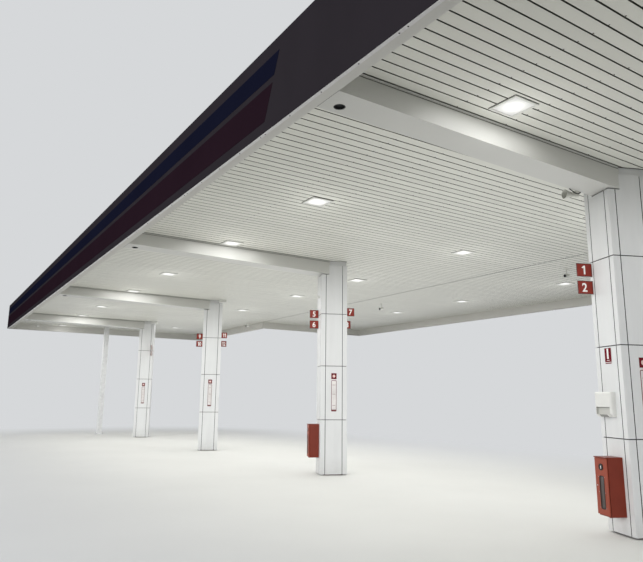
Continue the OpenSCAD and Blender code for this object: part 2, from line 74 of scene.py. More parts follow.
CAMERA_AIM, CAMERA_L = Vector((0, -math.cos(math.radians(10)), -math.sin(math.radians(10)))), 0.13
HORN_MOUTH, HORN_TURN = (-0.319, -0.706, 4.518), math.radians(19.6)
HORN_R, HORN_L = 0.066, 0.13
TOWEL_X, TOWEL_Z, TOWEL_D = -0.09, 1.47, 0.078
TOWEL_SLOT_W, TOWEL_SLOT_Z = 0.284, (0.03, 0.128)
LAMP_W = 0.38
FRONT_LAMPS = (((0.59, -3.43), -2.83), ((0.414, -3.54), -2.83), ((0.414, -3.56), -2.83), ((0.56, -3.65), -2.83))
BACK_LAMPS = ((2.61, -1.335), 1.72)
LINK_LAMPS = ((1.61, -2.285), 6.68)

# Sizes and places of the fittings that are made here, in metres
SHEET_LENGTH, FIRST_JOINT, SHORTEST_SHEET = 2.445, 1.307, 0.2
FROM_INNER_CORNER, TO_INNER_CORNER = (3, 6), (2, 5)
TRIM_T, TRIM_GAP = 0.0015, 0.003
TRIM_SCREW_INSET, TRIM_SCREW_IN = 0.055, 0.025
FILM_T = 0.0006
NEAR_NUMERAL_Y = -0.012
WINDOW_AT, WINDOW_SIZE = (0.004, 0.29), (0.078, 0.392)
LOCK_AT, LATCH_AT = (0.006, 0, 0.604), (-0.088, 0, 0.37)
DOOR_SCREW_X, DOOR_SCREW_Z = 0.062, (0.1, 0.29, 0.48)
CABLE_X, CABLE_D = -0.195, 0.014
CABLE_KNOTS = ((-0.772, 4.553), (-0.735, 4.541), (-0.68, 4.524), (-0.615, 4.511), (-0.555, 4.52), (-0.512, 4.549))
UPSIDE_DOWN = Matrix.Rotation(math.pi, 4, "X")

# Place and aim of the photograph's camera
EYE = (4.6792, -7.9638, 1.6787)
YAW, PITCH, ROLL = math.radians(57.194), math.radians(10.898), math.radians(0.555)
LENS_MM, SENSOR_MM = 34.04, 36.0

# Name, place, aim, width and height, and watts of each soft light round the model
SOFT_LIGHTS = (
    ("front_light", (-2, -34, 8), (-11, 0, 2.2), (26, 7), 4500),
    ("side_light", (34, -12, 6), (-2, 0, 2), (14, 8), 2000),
    ("far_light", (-48, -20, 12), (-12, 0, 3), (16, 12), 2400),
    ("back_light", (-6, 44, 20), (-10, 2, 3), (24, 14), 2600),
)
# Middle, length and depth of each unseen panel that sends the forecourt's light up, and its watts a square metre
FLOOR_BOUNCES, BOUNCE_POWER = ((-10.8, -0.45, 29, 8.6), (-10.8, 6.6, 15, 4.6)), 1.4
# Height of the lamps' halo lights, and how far they stay from a beam's middle
HALO_Z, HALO_OFF_BEAM = SOFFIT_Z - 0.42, 0.56
WORLD_STRENGTH = 0.42
BACKDROP = "#d6d8da"


def linear(code):
    """Linear RGB of an sRGB hex colour such as #d8d8d4."""
    parts = [int(code[k:k + 2], 16) / 255 for k in (1, 3, 5)]
    return tuple(c / 12.92 if c <= 0.04045 else ((c + 0.055) / 1.055) ** 2.4 for c in parts)


def colour_prop(name, description, code):
    """A colour property whose default is an sRGB hex colour."""
    return FloatVectorProperty(name=name, description=description, subtype="COLOR", size=3, min=0, max=1,
                               default=linear(code))


class CanopyColours(bpy.types.PropertyGroup):
    """Colours of the finishes."""

    cladding: colour_prop("Cladding", "Powder coat of the column panels", "#dedfdf")
    beam: colour_prop("Beams", "Coated sheet of the beam casings and trims", "#c9c9c4")
    soffit: colour_prop("Soffit", "Coated ceiling pans", "#dadad1")
    fascia: colour_prop("Fascia", "Charcoal panels of the fascia", "#343035")
    maroon: colour_prop("Lower stripe", "Maroon film on the fascia", "#291b24")
    navy: colour_prop("Upper stripe", "Navy film on the fascia", "#181a2c")
    flag: colour_prop("Number flags", "Enamel of the number flags", "#8b3126")
    door: colour_prop("Cabinet doors", "Moulded doors of the extinguisher cabinets", "#8e3a22")
    cabinet: colour_prop("Cabinet bodies", "Enamel of the extinguisher cabinets", "#793021")
    plastic: colour_prop("White plastic", "Moulded fittings", "#dededa")
    roof: colour_prop("Roof sheet", "Coated ribbed sheets on the roof", "#a9adae")


class CanopySizes(bpy.types.PropertyGroup):
    """Sizes of the small fittings."""

    numeral_h: FloatProperty(name="Numeral height", description="Height of the numerals on the flags",
                             default=0.125, min=0.05, max=0.16, unit="LENGTH")
    screw_r: FloatProperty(name="Screw radius", description="Radius of the heads of the trim screws",
                           default=0.008, min=0.003, max=0.015, unit="LENGTH")
    trim_w: FloatProperty(name="Edge trim width", description="Width of the trim under the fascia's edge",
                          default=0.04, min=0.02, max=0.08, unit="LENGTH")
    gasket_w: FloatProperty(name="Lamp gap shade width", description="Width of the dark ring of painted shade round the lamp frames",
                            default=0.007, min=0.002, max=0.03, unit="LENGTH")
    glow: FloatProperty(name="Lamp glow", description="Strength of the light in the middle of the lamp lenses",
                        default=0.42, min=0, max=20)
    lamp_power: FloatProperty(name="Lamp power", description="Light that one metre of a lamp row gives",
                              default=13.5, min=0, max=100, unit="POWER")
    halo_power: FloatProperty(name="Halo power", description="Light of one lamp on the ceiling and beam beside it",
                              default=2.8, min=0, max=20, unit="POWER")


def feed(tree, value, socket):
    """Links an output, or a node's first open output, to a socket, or sets a plain value on it."""
    if isinstance(value, bpy.types.Node):
        value = next(output for output in value.outputs if output.enabled)
    if isinstance(value, bpy.types.NodeSocket):
        tree.links.new(value, socket)
    else:
        socket.default_value = value


def add_node(tree, kind, *values, named=None, **settings):
    """Adds a node with its settings; the values feed its open sockets in their order, the named ones by name."""
    made = tree.nodes.new("ShaderNode" + kind)
    for name, value in settings.items():
        setattr(made, name, value)
    sockets = [socket for socket in made.inputs if socket.enabled]
    for socket, value in zip(sockets, values):
        feed(tree, value, socket)
    for name, value in (named or {}).items():
        feed(tree, value, made.inputs[name])
    return made


# Cycles per metre, depth and strength of two reliefs: the grain of moulded plastic, drawn 2.4 mm wide, and the
# orange peel of enamel, drawn 4 mm wide. Both are coarser than the real ones, so that they can show.
MOULD_GRAIN = (420, 0.0002, 0.3)
ORANGE_PEEL = (240, 0.0004, 0.3)


def new_finish(name, sockets):
    """A new material with a Principled shader, whose own values are set, and its output."""
    material = bpy.data.materials.new(name)
    material.use_nodes = True
    tree = material.node_tree
    tree.nodes.clear()
    shader = add_node(tree, "BsdfPrincipled", named=sockets, name="shader")
    add_node(tree, "OutputMaterial", shader, name="ending")
    return material


def rgba(colour, share=1.0):
    """An RGBA tuple of a linear colour, made darker or lighter by a share."""
    return tuple(min(1.0, c * share) for c in colour) + (1.0,)


def cloud(tree, cycles, stretch, detail, softness=0.5):
    """Noise over the object coordinates, with cycles per metre and a stretch by axis."""
    place = add_node(tree, "TexCoord").outputs["Object"]
    drawn = add_node(tree, "Mapping", place, named={"Scale": stretch})
    return add_node(tree, "TexNoise", drawn, cycles, detail, softness)


def mottled(tree, cycles, dark, light, stretch=(1, 1, 1), detail=3):
    """Colour that drifts between two tones over the object, with cycles per metre and a stretch by axis."""
    level = add_node(tree, "MapRange", cloud(tree, cycles, stretch, detail, 0.6), 0.3, 0.7)
    return add_node(tree, "Mix", level, dark, light, data_type="RGBA")


def coated(material, colour, cycles, depth, strength, stretch=(1, 1, 1)):
    """Completes a new finish with its colour, and a relief with cycles per metre and a depth in metres."""
    tree, shader = material.node_tree, material.node_tree.nodes["shader"]
    bump = add_node(tree, "Bump", strength, depth, named={"Height": cloud(tree, cycles, stretch, 2)})
    feed(tree, bump, shader.inputs["Normal"])
    feed(tree, colour, shader.inputs["Base Color"])
    return material


def where(tree, *tests):
    """1 where all of several comparisons hold, else 0; each is given as its operation and its values."""
    share = 1.0
    for operation, *values in tests:
        test = add_node(tree, "Math", *values, operation=operation)
        share = add_node(tree, "Math", share, test, operation="MULTIPLY")
    return share


def position(tree):
    """The X, Y and Z outputs of the object coordinates."""
    return add_node(tree, "SeparateXYZ", add_node(tree, "TexCoord").outputs["Object"]).outputs


def column_frame(tree):
    """The object coordinates, turned into the frame of the nearest column."""
    x, y, z = position(tree)
    near_x = add_node(tree, "Math", x, BAY / 2, -BAY / 2, operation="WRAP")
    flat = add_node(tree, "CombineXYZ", near_x, y, z)
    return add_node(tree, "Mapping", flat, named={"Rotation": (0, 0, SKEW)})


def powder_coated_cladding(colour):
    """Polyester powder coat on aluminium cassettes: satin white, a little dusty, dark rubber down in the joints, and
    mid grey painted shade in the joints and notches up by the beams.

    Its orange peel is drawn 6 mm wide, coarser than the real one, so that it can show.
    """
    material = new_finish("powder_coated_aluminium", {"Roughness": 0.42, "IOR": 1.5})
    tree = material.node_tree
    turned = column_frame(tree)
    across, deep, z = add_node(tree, "SeparateXYZ", turned).outputs
    skin, joint_top, dust_z = 0.0015, SOFFIT_Z - 0.11, (0.02, 0.45)
    joints = where(tree, ("COMPARE", across, 0, COLUMN_W / 2 - skin), ("COMPARE", deep, 0, COLUMN_D / 2 - skin),
                   ("LESS_THAN", z, joint_top))
    coat = mottled(tree, 1.6, rgba(colour, 0.955), rgba(colour, 1.02), stretch=(3, 3, 0.5))
    foot = add_node(tree, "MapRange", z, *dust_z, 0.35, 0.0, interpolation_type="SMOOTHSTEP")
    splash = add_node(tree, "Math", foot, add_node(tree, "TexNoise", turned, 9.0, 5.0), operation="MULTIPLY")
    worn = add_node(tree, "Mix", splash, coat, rgba(linear("#8d8a82")), data_type="RGBA")
    # Joints and notches above the beams' underside: mid grey painted shade in place of the dark rubber below
    notch_shade_zone = add_node(tree, "Math", z, CLEAR_Z - 0.065, operation="GREATER_THAN")
    rubber = add_node(tree, "Mix", notch_shade_zone, rgba(linear("#131414")), rgba(linear("#7f8080")), data_type="RGBA")
    return coated(material, add_node(tree, "Mix", joints, worn, rubber, data_type="RGBA"), 170, 0.0003, 0.25)


def coated_beam_sheet(colour):
    """Folded coil-coated steel: smooth white with a faint waviness, and a painted shadow line at its joint with the
    fascia's band.
    """
    material = new_finish("coil_coated_steel_sheet", {"Roughness": 0.38, "IOR": 1.5})
    tree = material.node_tree
    coat = mottled(tree, 1.1, rgba(colour, 0.965), rgba(colour, 1.015), stretch=(1, 0.6, 2))
    seam_shade_w = 0.006
    # Dark strip at the beam's end: painted shadow of the gap at the fascia's band
    shaded_seam = add_node(tree, "Math", position(tree)["Y"], Y_FRONT + BAND_W + seam_shade_w, operation="LESS_THAN")
    tone = add_node(tree, "Mix", shaded_seam, coat, rgba(linear("#4a4a47")), data_type="RGBA")
    return coated(material, tone, 2.2, 0.004, 0.35)


def trim_angle(colour):
    """Coil-coated angle beside a beam: white, with painted shade in the shadow-gap lines at its outer edge and along
    its corner.
    """
    material = new_finish("coil_coated_angle", {"Roughness": 0.4, "IOR": 1.5})
    tree = material.node_tree
    x, _, z = position(tree)
    near_x = add_node(tree, "Math", x, BAY / 2, -BAY / 2, operation="WRAP")
    off = add_node(tree, "Math", near_x, operation="ABSOLUTE")
    # Dark strips at the outer edge and along the corner: painted shade of the shadow gaps
    edge = add_node(tree, "Math", off, BEAM_W / 2 + 0.0165, operation="GREATER_THAN")
    corner = where(tree, ("LESS_THAN", off, BEAM_W / 2 + 0.0052), ("LESS_THAN", z, SOFFIT_Z - 0.022))
    gap_shade = add_node(tree, "Math", edge, corner, operation="MAXIMUM")
    coat = mottled(tree, 1.1, rgba(colour, 0.96), rgba(colour, 1.02), stretch=(1, 0.6, 2))
    tone = add_node(tree, "Mix", gap_shade, coat, rgba(linear("#6c6c66")), data_type="RGBA")
    return coated(material, tone, 2.2, 0.002, 0.3)


def coated_pans(colour):
    """Roll-formed coil-coated pans: off-white, each pan a shade of its own, with painted shade in the open joint
    between two, and a painted shadow line where the link's pans meet the main ones.
    """
    material = new_finish("roll_formed_ceiling_pans", {"Roughness": 0.36, "IOR": 1.5})
    tree = material.node_tree
    x, y, z = position(tree)
    shifted = add_node(tree, "Math", x, PAN_PITCH / 2, operation="ADD")
    counted = add_node(tree, "Math", shifted, PAN_PITCH, operation="DIVIDE")
    pan = add_node(tree, "Math", counted, operation="FLOOR")
    own = add_node(tree, "TexWhiteNoise", pan, noise_dimensions="1D")
    shade = add_node(tree, "Mix", own, rgba(colour, 0.95), rgba(colour, 1.03), data_type="RGBA")
    dust = mottled(tree, 0.9, rgba((1, 1, 1), 0.95), rgba((1, 1, 1)), stretch=(1, 0.5, 1))
    coat = add_node(tree, "Mix", 1.0, shade, dust, data_type="RGBA", blend_type="MULTIPLY")
    # Dark groove bottoms and a dark band at the link's joint: painted shade
    deep = add_node(tree, "Math", z, SOFFIT_Z + 0.001, operation="GREATER_THAN")
    link_middle, link_half = (LINK_NEAR + LINK_FAR) / 2, (LINK_NEAR - LINK_FAR) / 2 - BAND_W
    shaded_seam = where(tree, ("COMPARE", y, Y_BACK - BAND_W + 0.005, 0.018), ("COMPARE", x, link_middle, link_half))
    gap = add_node(tree, "Math", deep, shaded_seam, operation="MAXIMUM")
    tone = add_node(tree, "Mix", gap, coat, rgba(linear("#4e4e46")), data_type="RGBA")
    return coated(material, tone, 1.4, 0.003, 0.4, stretch=(1, 0.3, 1))


def fascia_board(outward, name, colour):
    """Composite panel, matt charcoal outside; the band below and the lower inside are white, the rest bare grey."""
    material = new_finish(name, {"Roughness": 0.8, "IOR": 1.5, "Specular IOR Level": 0.0})
    tree = material.node_tree
    normal = add_node(tree, "NewGeometry").outputs["Normal"]
    out = add_node(tree, "VectorMath", normal, outward, operation="DOT_PRODUCT")
    up = add_node(tree, "SeparateXYZ", normal).outputs["Z"]
    outmost = add_node(tree, "Math", out, up, operation="MAXIMUM")
    outside = add_node(tree, "Math", outmost, 0.5, operation="GREATER_THAN")
    high = add_node(tree, "Math", position(tree)["Z"], SOFFIT_Z + 0.01, operation="GREATER_THAN")
    inner = add_node(tree, "Mix", high, rgba(linear("#d4d3ce")), rgba(linear("#8f9293")), data_type="RGBA")
    face = mottled(tree, 0.8, rgba(colour, 0.93), rgba(colour, 1.07), stretch=(1, 1, 0.4))
    return coated(material, add_node(tree, "Mix", outside, inner, face, data_type="RGBA"), 1.2, 0.002, 0.15)


def vinyl_film(name, colour):
    """Cast vinyl film rolled onto the fascia: even matt colour with a hint of the board's waviness."""
    material = new_finish(name, {"Roughness": 0.7, "IOR": 1.48, "Specular IOR Level": 0.0})
    tree = material.node_tree
    return coated(material, mottled(tree, 0.9, rgba(colour, 0.93), rgba(colour, 1.06)), 1.5, 0.001, 0.15)


def enamel(name, colour, gloss=0.5):
    """Stoved enamel on steel sheet: even colour, soft gloss and a fine orange-peel surface."""
    material = new_finish(name, {"Roughness": 0.35, "IOR": 1.5, "Specular IOR Level": gloss,
                                 "Coat Weight": gloss / 2, "Coat Roughness": 0.15})
    tree = material.node_tree
    return coated(material, mottled(tree, 7, rgba(colour, 0.9), rgba(colour, 1.08), detail=4), *ORANGE_PEEL)


def moulded(name, colour, roughness=0.45):
    """Injection-moulded plastic: one colour through, a fine spark-eroded grain and a dull sheen."""
    material = new_finish(name, {"Roughness": roughness, "IOR": 1.46})
    tree = material.node_tree
    return coated(material, mottled(tree, 5, rgba(colour, 0.95), rgba(colour, 1.03)), *MOULD_GRAIN)


def moulded_dispenser(colour):
    """White ABS shell with a fine grain; the sunken window is greyer with painted shade, with a painted shadow line on
    its top and right edges, and a grey patch of painted shade at the towel outlet.
    """
    material = new_finish("moulded_white_abs_shell", {"Roughness": 0.42, "IOR": 1.5})
    tree = material.node_tree
    across, deep, z = add_node(tree, "SeparateXYZ", column_frame(tree)).outputs
    low, high = (TOWEL_Z + height for height in TOWEL_SLOT_Z)
    half, slack, face = TOWEL_SLOT_W / 2, 0.0005, -COLUMN_D / 2 - TOWEL_D
    sunk = where(tree, ("GREATER_THAN", deep, face + 0.0015), ("COMPARE", across, TOWEL_X, half + slack),
                 ("COMPARE", z, (low + high) / 2, (high - low) / 2 + slack))
    # The window's grey and the dark lines on its top and right edges are painted shade in the recess
    top_shadow_line = add_node(tree, "Math", z, high - 0.009, operation="GREATER_THAN")
    right_shadow_line = add_node(tree, "Math", across, TOWEL_X + half - 0.011, operation="GREATER_THAN")
    edge = add_node(tree, "Math", top_shadow_line, right_shadow_line, operation="MAXIMUM")
    window = add_node(tree, "Mix", edge, rgba(linear("#c6c6c0")), rgba(linear("#7e7e7a")), data_type="RGBA")
    # Grey patch low on the shell: painted shade of the towel outlet
    mouth = where(tree, ("LESS_THAN", z, TOWEL_Z + 0.03), ("COMPARE", across, TOWEL_X - 0.02, 0.085))
    coat = mottled(tree, 5, rgba(colour, 0.95), rgba(colour, 1.03))
    shell = add_node(tree, "Mix", mouth, coat, rgba(linear("#82827e")), data_type="RGBA")
    return coated(material, add_node(tree, "Mix", sunk, shell, window, data_type="RGBA"), *MOULD_GRAIN)


def moulded_fittings(colour):
    """White ABS of the cameras and boxes, the cameras' black fronts, and a greyer tone on the horn speaker."""
    material = new_finish("moulded_white_and_grey_abs", {"Roughness": 0.45, "IOR": 1.46})
    tree = material.node_tree
    place = add_node(tree, "TexCoord").outputs["Object"]
    from_horn = add_node(tree, "VectorMath", place, HORN_MOUTH, operation="DISTANCE")
    horn = add_node(tree, "Math", from_horn, 0.4, operation="LESS_THAN")
    white = mottled(tree, 5, rgba(colour, 0.97), rgba(colour, 1.06))
    grey = mottled(tree, 9, rgba(linear("#c6c6be")), rgba(linear("#d2d2ca")))
    body = add_node(tree, "Mix", horn, white, grey, data_type="RGBA")
    nearest = float(BAY)
    for x, y in CAMERAS:
        nose = camera_back(x, y) + CAMERA_AIM * (CAMERA_L - 0.015)
        from_nose = add_node(tree, "VectorMath", place, nose, operation="DISTANCE")
        nearest = add_node(tree, "Math", nearest, from_nose, operation="MINIMUM")
    front = add_node(tree, "Math", nearest, 0.042, operation="LESS_THAN")
    return coated(material, add_node(tree, "Mix", front, body, rgba(linear("#161618")), data_type="RGBA"), *MOULD_GRAIN)


def primed_steel():
    """Red-brown zinc phosphate primer on rolled steel: matt, rough and blotchy."""
    material = new_finish("primed_rolled_steel", {"Roughness": 0.75, "IOR": 1.5})
    tree = material.node_tree
    blotches = mottled(tree, 6, rgba(linear("#5f3f36")), rgba(linear("#76524a")), detail=6)
    return coated(material, blotches, 60, 0.0006, 0.4)


def galvanised_steel():
    """Hot-dip galvanised steel: grey metal with frost-like spangles 20 to 40 mm across and a dull bloom."""
    material = new_finish("hot_dip_galvanised_steel", {"Metallic": 0.85})
    tree, shader = material.node_tree, material.node_tree.nodes["shader"]
    place = add_node(tree, "TexCoord").outputs["Object"]
    spangle = add_node(tree, "TexVoronoi", place, 32.0).outputs["Color"]
    grain = add_node(tree, "SeparateColor", spangle)
    tone = add_node(tree, "Mix", grain, rgba(linear("#8a8e90")), rgba(linear("#b3b7b8")), data_type="RGBA")
    feed(tree, tone, shader.inputs["Base Color"])
    feed(tree, add_node(tree, "MapRange", grain, 0, 1, 0.38, 0.6), shader.inputs["Roughness"])
    return material


def ribbed_roof_sheet(colour):
    """Coil-coated ribbed steel sheet: grey, dull, and weathered in streaks along the fall."""
    material = new_finish("coil_coated_ribbed_sheet", {"Roughness": 0.5, "IOR": 1.5})
    tree = material.node_tree
    weather = mottled(tree, 1.6, rgba(colour, 0.82), rgba(colour, 1.05), stretch=(4, 0.35, 1), detail=5)
    return coated(material, weather, 30, 0.0008, 0.3)


def opal_lens(glow):
    """Opal acrylic over a round reflector: white and lit in the middle, fading to its rim, prisms 12 mm apart."""
    material = new_finish("lit_opal_acrylic", {"Base Color": (0.72, 0.72, 0.7, 1), "Roughness": 0.35,
                                               "Emission Strength": glow, "IOR": 1.49})
    tree, shader = material.node_tree, material.node_tree.nodes["shader"]
    place = add_node(tree, "TexCoord").outputs["Object"]
    flat = add_node(tree, "VectorMath", place, (1, 1, 0), operation="MULTIPLY")
    nearest = float(BAY)
    for x, y in lamps():
        off = add_node(tree, "VectorMath", flat, (x, y, 0), operation="DISTANCE")
        nearest = add_node(tree, "Math", nearest, off, operation="MINIMUM")
    fade = add_node(tree, "MapRange", nearest, 0.05, 0.2, 1.0, 0.06, interpolation_type="SMOOTHSTEP")
    prisms = add_node(tree, "TexVoronoi", place, 84.0, distance="CHEBYCHEV")
    even = add_node(tree, "MapRange", prisms, 0, 1, 1.0, 0.9)
    lit = add_node(tree, "Math", fade, even, operation="MULTIPLY")
    feed(tree, add_node(tree, "Mix", lit, (0, 0, 0, 1), (1, 1, 1, 1), data_type="RGBA"),
         shader.inputs["Emission Color"])
    return material


def solid_finish(name, code, roughness, metallic=0.0, ior=1.5):
    """A small part's finish: its colour drifts a little, as on any made surface."""
    values = {"Roughness": roughness, "Metallic": metallic}
    if not metallic:
        values["IOR"] = ior
    material = new_finish(name, values)
    tree = material.node_tree
    colour = linear(code)
    return coated(material, mottled(tree, 40, rgba(colour, 0.94), rgba(colour, 1.06)), 240, 0.0002, 0.2)


MADE_FINISHES = {}
WEATHERED_SCREW = (solid_finish, "weathered_steel_screw", "#232322", 0.6)


def finish(maker, *values):
    """The material of a maker and its values, made once and then shared."""
    key = (maker.__name__,) + tuple(str(v) for v in values)
    if key not in MADE_FINISHES:
        MADE_FINISHES[key] = maker(*values)
    return MADE_FINISHES[key]


def coat_nodes(material, *names):
    """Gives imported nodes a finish, in the material slots that they have."""
    for name in names:
        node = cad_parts[name]
        if not node.material_slots:
            raise RuntimeError(f"{name} has no material slot")
        for slot in node.material_slots:
            slot.material = material


def numbered(pattern, count=COLUMNS):
    """Node names from a pattern such as beam_{}_casing."""
    return [pattern.format(n + 1) for n in range(count)]


def clear_selection():
    """Deselects everything, in object mode."""
    if bpy.context.mode != "OBJECT":
        bpy.ops.object.mode_set(mode="OBJECT")
    bpy.ops.object.select_all(action="DESELECT")


def lone(piece):
    """Leaves one piece selected and active, in object mode."""
    clear_selection()
    piece.select_set(True)
    bpy.context.view_layer.objects.active = piece


def edit_faces(piece, wanted):
    """Opens a piece in edit mode with only the faces selected whose centre and normal pass a test."""
    lone(piece)
    bpy.ops.object.mode_set(mode="EDIT")
    bpy.ops.mesh.select_mode(type="FACE")
    bpy.ops.mesh.select_all(action="DESELECT")
    mesh = bmesh.from_edit_mesh(piece.data)
    for face in mesh.faces:
        if wanted(face.calc_center_median(), face.normal):
            face.select_set(True)
    bmesh.update_edit_mesh(piece.data)


def close_edit():
    """Back to object mode."""
    bpy.ops.object.mode_set(mode="OBJECT")


def rounded_box(size, centre=(0, 0, 0), edge=0.001, segments=2):
    """A box with rounded edges."""
    clear_selection()
    bpy.ops.mesh.primitive_cube_add(size=1, location=centre, scale=size)
    piece = bpy.context.object
    bpy.ops.object.transform_apply(location=True, rotation=True, scale=True)
    edit_faces(piece, lambda centre, normal: True)
    bpy.ops.mesh.bevel(offset=edge, segments=segments, affect="EDGES")
    close_edit()
    return piece


def rounded_disc(radius, height, vertices, edge, segments=2):
    """A disc that stands on z = 0, with a rounded upper edge."""
    clear_selection()
    bpy.ops.mesh.primitive_cylinder_add(vertices=vertices, radius=radius, depth=height, location=(0, 0, height / 2))
    piece = bpy.context.object
    bpy.ops.object.transform_apply(location=True, rotation=True, scale=True)
    edit_faces(piece, lambda centre, normal: normal.z > 0.9)
    bpy.ops.mesh.bevel(offset=edge, segments=segments, affect="EDGES")
    close_edit()
    return piece


def sink_end(piece, side, rim, shift):
    """Moves the flat end of a disc along z inside a rim; side is 1 for its upper end and -1 for its lower one."""
    edit_faces(piece, lambda centre, normal: normal.z * side > 0.99)
    bpy.ops.mesh.inset(thickness=rim)
    bpy.ops.transform.translate(value=(0, 0, shift))
    close_edit()


def pan_head_screw(radius, height):
    """A low pan-head screw on z = 0 with a sunk recess in its head."""
    piece = rounded_disc(radius, height, 10, radius * 0.35, 1)
    sink_end(piece, 1, radius * 0.3, -height * 0.5)
    return piece


def flat_ring(width, height, wall, depth, centre=(0, 0, 0), corner=0.0, segments=1, edge=0.0):
    """A rectangular ring that stands up along z from its centre; corner rounds its corners, edge breaks its edges."""
    clear_selection()
    bpy.ops.mesh.primitive_plane_add(size=1, location=centre)
    piece = bpy.context.object
    piece.scale = (width, height, 1)
    bpy.ops.object.transform_apply(location=True, rotation=True, scale=True)
    lone(piece)
    bpy.ops.object.mode_set(mode="EDIT")
    bpy.ops.mesh.select_mode(type="VERT")
    bpy.ops.mesh.select_all(action="SELECT")
    if corner:
        bpy.ops.mesh.bevel(offset=corner, segments=segments, affect="VERTICES")
    bpy.ops.mesh.select_mode(type="FACE")
    bpy.ops.mesh.select_all(action="SELECT")
    bpy.ops.mesh.inset(thickness=wall)
    bpy.ops.mesh.delete(type="FACE")
    bpy.ops.mesh.select_all(action="SELECT")
    bpy.ops.mesh.extrude_region_move(TRANSFORM_OT_translate={"value": (0, 0, depth)})
    bpy.ops.mesh.select_all(action="SELECT")
    bpy.ops.mesh.normals_make_consistent(inside=False)
    if edge:
        bpy.ops.mesh.bevel(offset=edge, segments=1, affect="EDGES")
    close_edit()
    return piece


def copies(piece, places):
    """Copies of a piece, each with its own mesh, at each matrix of a list; the first piece is removed."""
    made = []
    for place in places:
        twin = piece.copy()
        twin.data = piece.data.copy()
        twin.data.transform(place)
        bpy.context.scene.collection.objects.link(twin)
        made.append(twin)
    bpy.data.objects.remove(piece)
    return made


def joined(pieces):
    """One object of several."""
    clear_selection()
    for piece in pieces:
        piece.select_set(True)
    bpy.context.view_layer.objects.active = pieces[0]
    if len(pieces) > 1:
        bpy.ops.object.join()
    return bpy.context.view_layer.objects.active


def settle(piece, name, material, body="canopy", smooth=35, place=None):
    """Names a finished piece, puts its place in its mesh, and gives it its finish, slot and body."""
    lone(piece)
    bpy.ops.object.transform_apply(location=True, rotation=True, scale=True)
    if place is not None:
        piece.data.transform(place)
    bpy.ops.object.shade_smooth_by_angle(angle=math.radians(smooth))
    piece.name = name
    piece.data.name = name
    piece.data.materials.clear()
    piece.data.materials.append(material)
    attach(piece, body)
    if not len(piece.data.polygons):
        raise RuntimeError(f"{name} has no faces")
    return piece


def at_column(i):
    """The turned frame of a column, at its foot."""
    return Matrix.Translation((-BAY * i, 0, 0)) @ Matrix.Rotation(-SKEW, 4, "Z")


def facing(direction, at):
    """A matrix that turns +Z to one direction and keeps up upright, at a place."""
    z = Vector(direction).normalized()
    x = Vector((0, 0, 1)).cross(z)
    x = Vector((1, 0, 0)) if x.length < 1e-6 else x.normalized()
    y = z.cross(x)
    turn = Matrix((x, y, z)).transposed().to_4x4()
    return Matrix.Translation(at) @ turn


class CANOPY_OT_view(bpy.types.Operator):
    """Sets the camera where the photograph was taken"""

    bl_idname = "canopy.view"
    bl_label = "Camera"

    def execute(self, context):
        lens = bpy.data.cameras.new("photo_camera")
        lens.lens, lens.sensor_width, lens.sensor_fit = LENS_MM, SENSOR_MM, "HORIZONTAL"
        lens.dof.use_dof = False
        lens.clip_start, lens.clip_end = 0.05, 500
        camera = bpy.data.objects.new("photo_camera", lens)
        context.scene.collection.objects.link(camera)
        ahead = Vector((-math.sin(YAW), math.cos(YAW), 0))
        side = Vector((math.cos(YAW), math.sin(YAW), 0))
        above = Vector((0, 0, 1))
        aim = ahead * math.cos(PITCH) + above * math.sin(PITCH)
        head = above * math.cos(PITCH) - ahead * math.sin(PITCH)
        right = side * math.cos(ROLL) + head * math.sin(ROLL)
        top = head * math.cos(ROLL) - side * math.sin(ROLL)
        turn = Matrix((right, top, -aim)).transposed().to_4x4()
        camera.matrix_world = Matrix.Translation(EYE) @ turn
        context.scene.camera = camera
        return {"FINISHED"}


class CANOPY_OT_column_finish(bpy.types.Operator):
    """Powder-coats the column panels and the slim post, and primes the steel posts inside"""

    bl_idname = "canopy.column_finish"
    bl_label = "Columns"

    def execute(self, context):
        colour = tuple(context.scene.canopy_colours.cladding)
        coat_nodes(finish(powder_coated_cladding, colour), *numbered("column_{}_cladding"))
        coat_nodes(finish(enamel, "white_enamel_post", colour), "slim_post")
        coat_nodes(finish(primed_steel), *numbered("column_{}_post"), "rafters")
        return {"FINISHED"}


class CANOPY_OT_beam_finish(bpy.types.Operator):
    """Coats the beam casings and the angle trims beside them"""

    bl_idname = "canopy.beam_finish"
    bl_label = "Beams"

    def execute(self, context):
        sheet = finish(coated_beam_sheet, tuple(context.scene.canopy_colours.beam))
        coat_nodes(sheet, *numbered("beam_{}_casing"))
        coat_nodes(finish(trim_angle, tuple(context.scene.canopy_colours.beam)), "beam_trims")
        return {"FINISHED"}


class CANOPY_OT_soffit_finish(bpy.types.Operator):
    """Coats the ceiling pans"""

    bl_idname = "canopy.soffit_finish"
    bl_label = "Soffit"

    def execute(self, context):
        pans = finish(coated_pans, tuple(context.scene.canopy_colours.soffit))
        coat_nodes(pans, *numbered("soffit_bay_{}", COLUMNS - 1), "soffit_near_end", "soffit_far_end", "soffit_link")
        return {"FINISHED"}


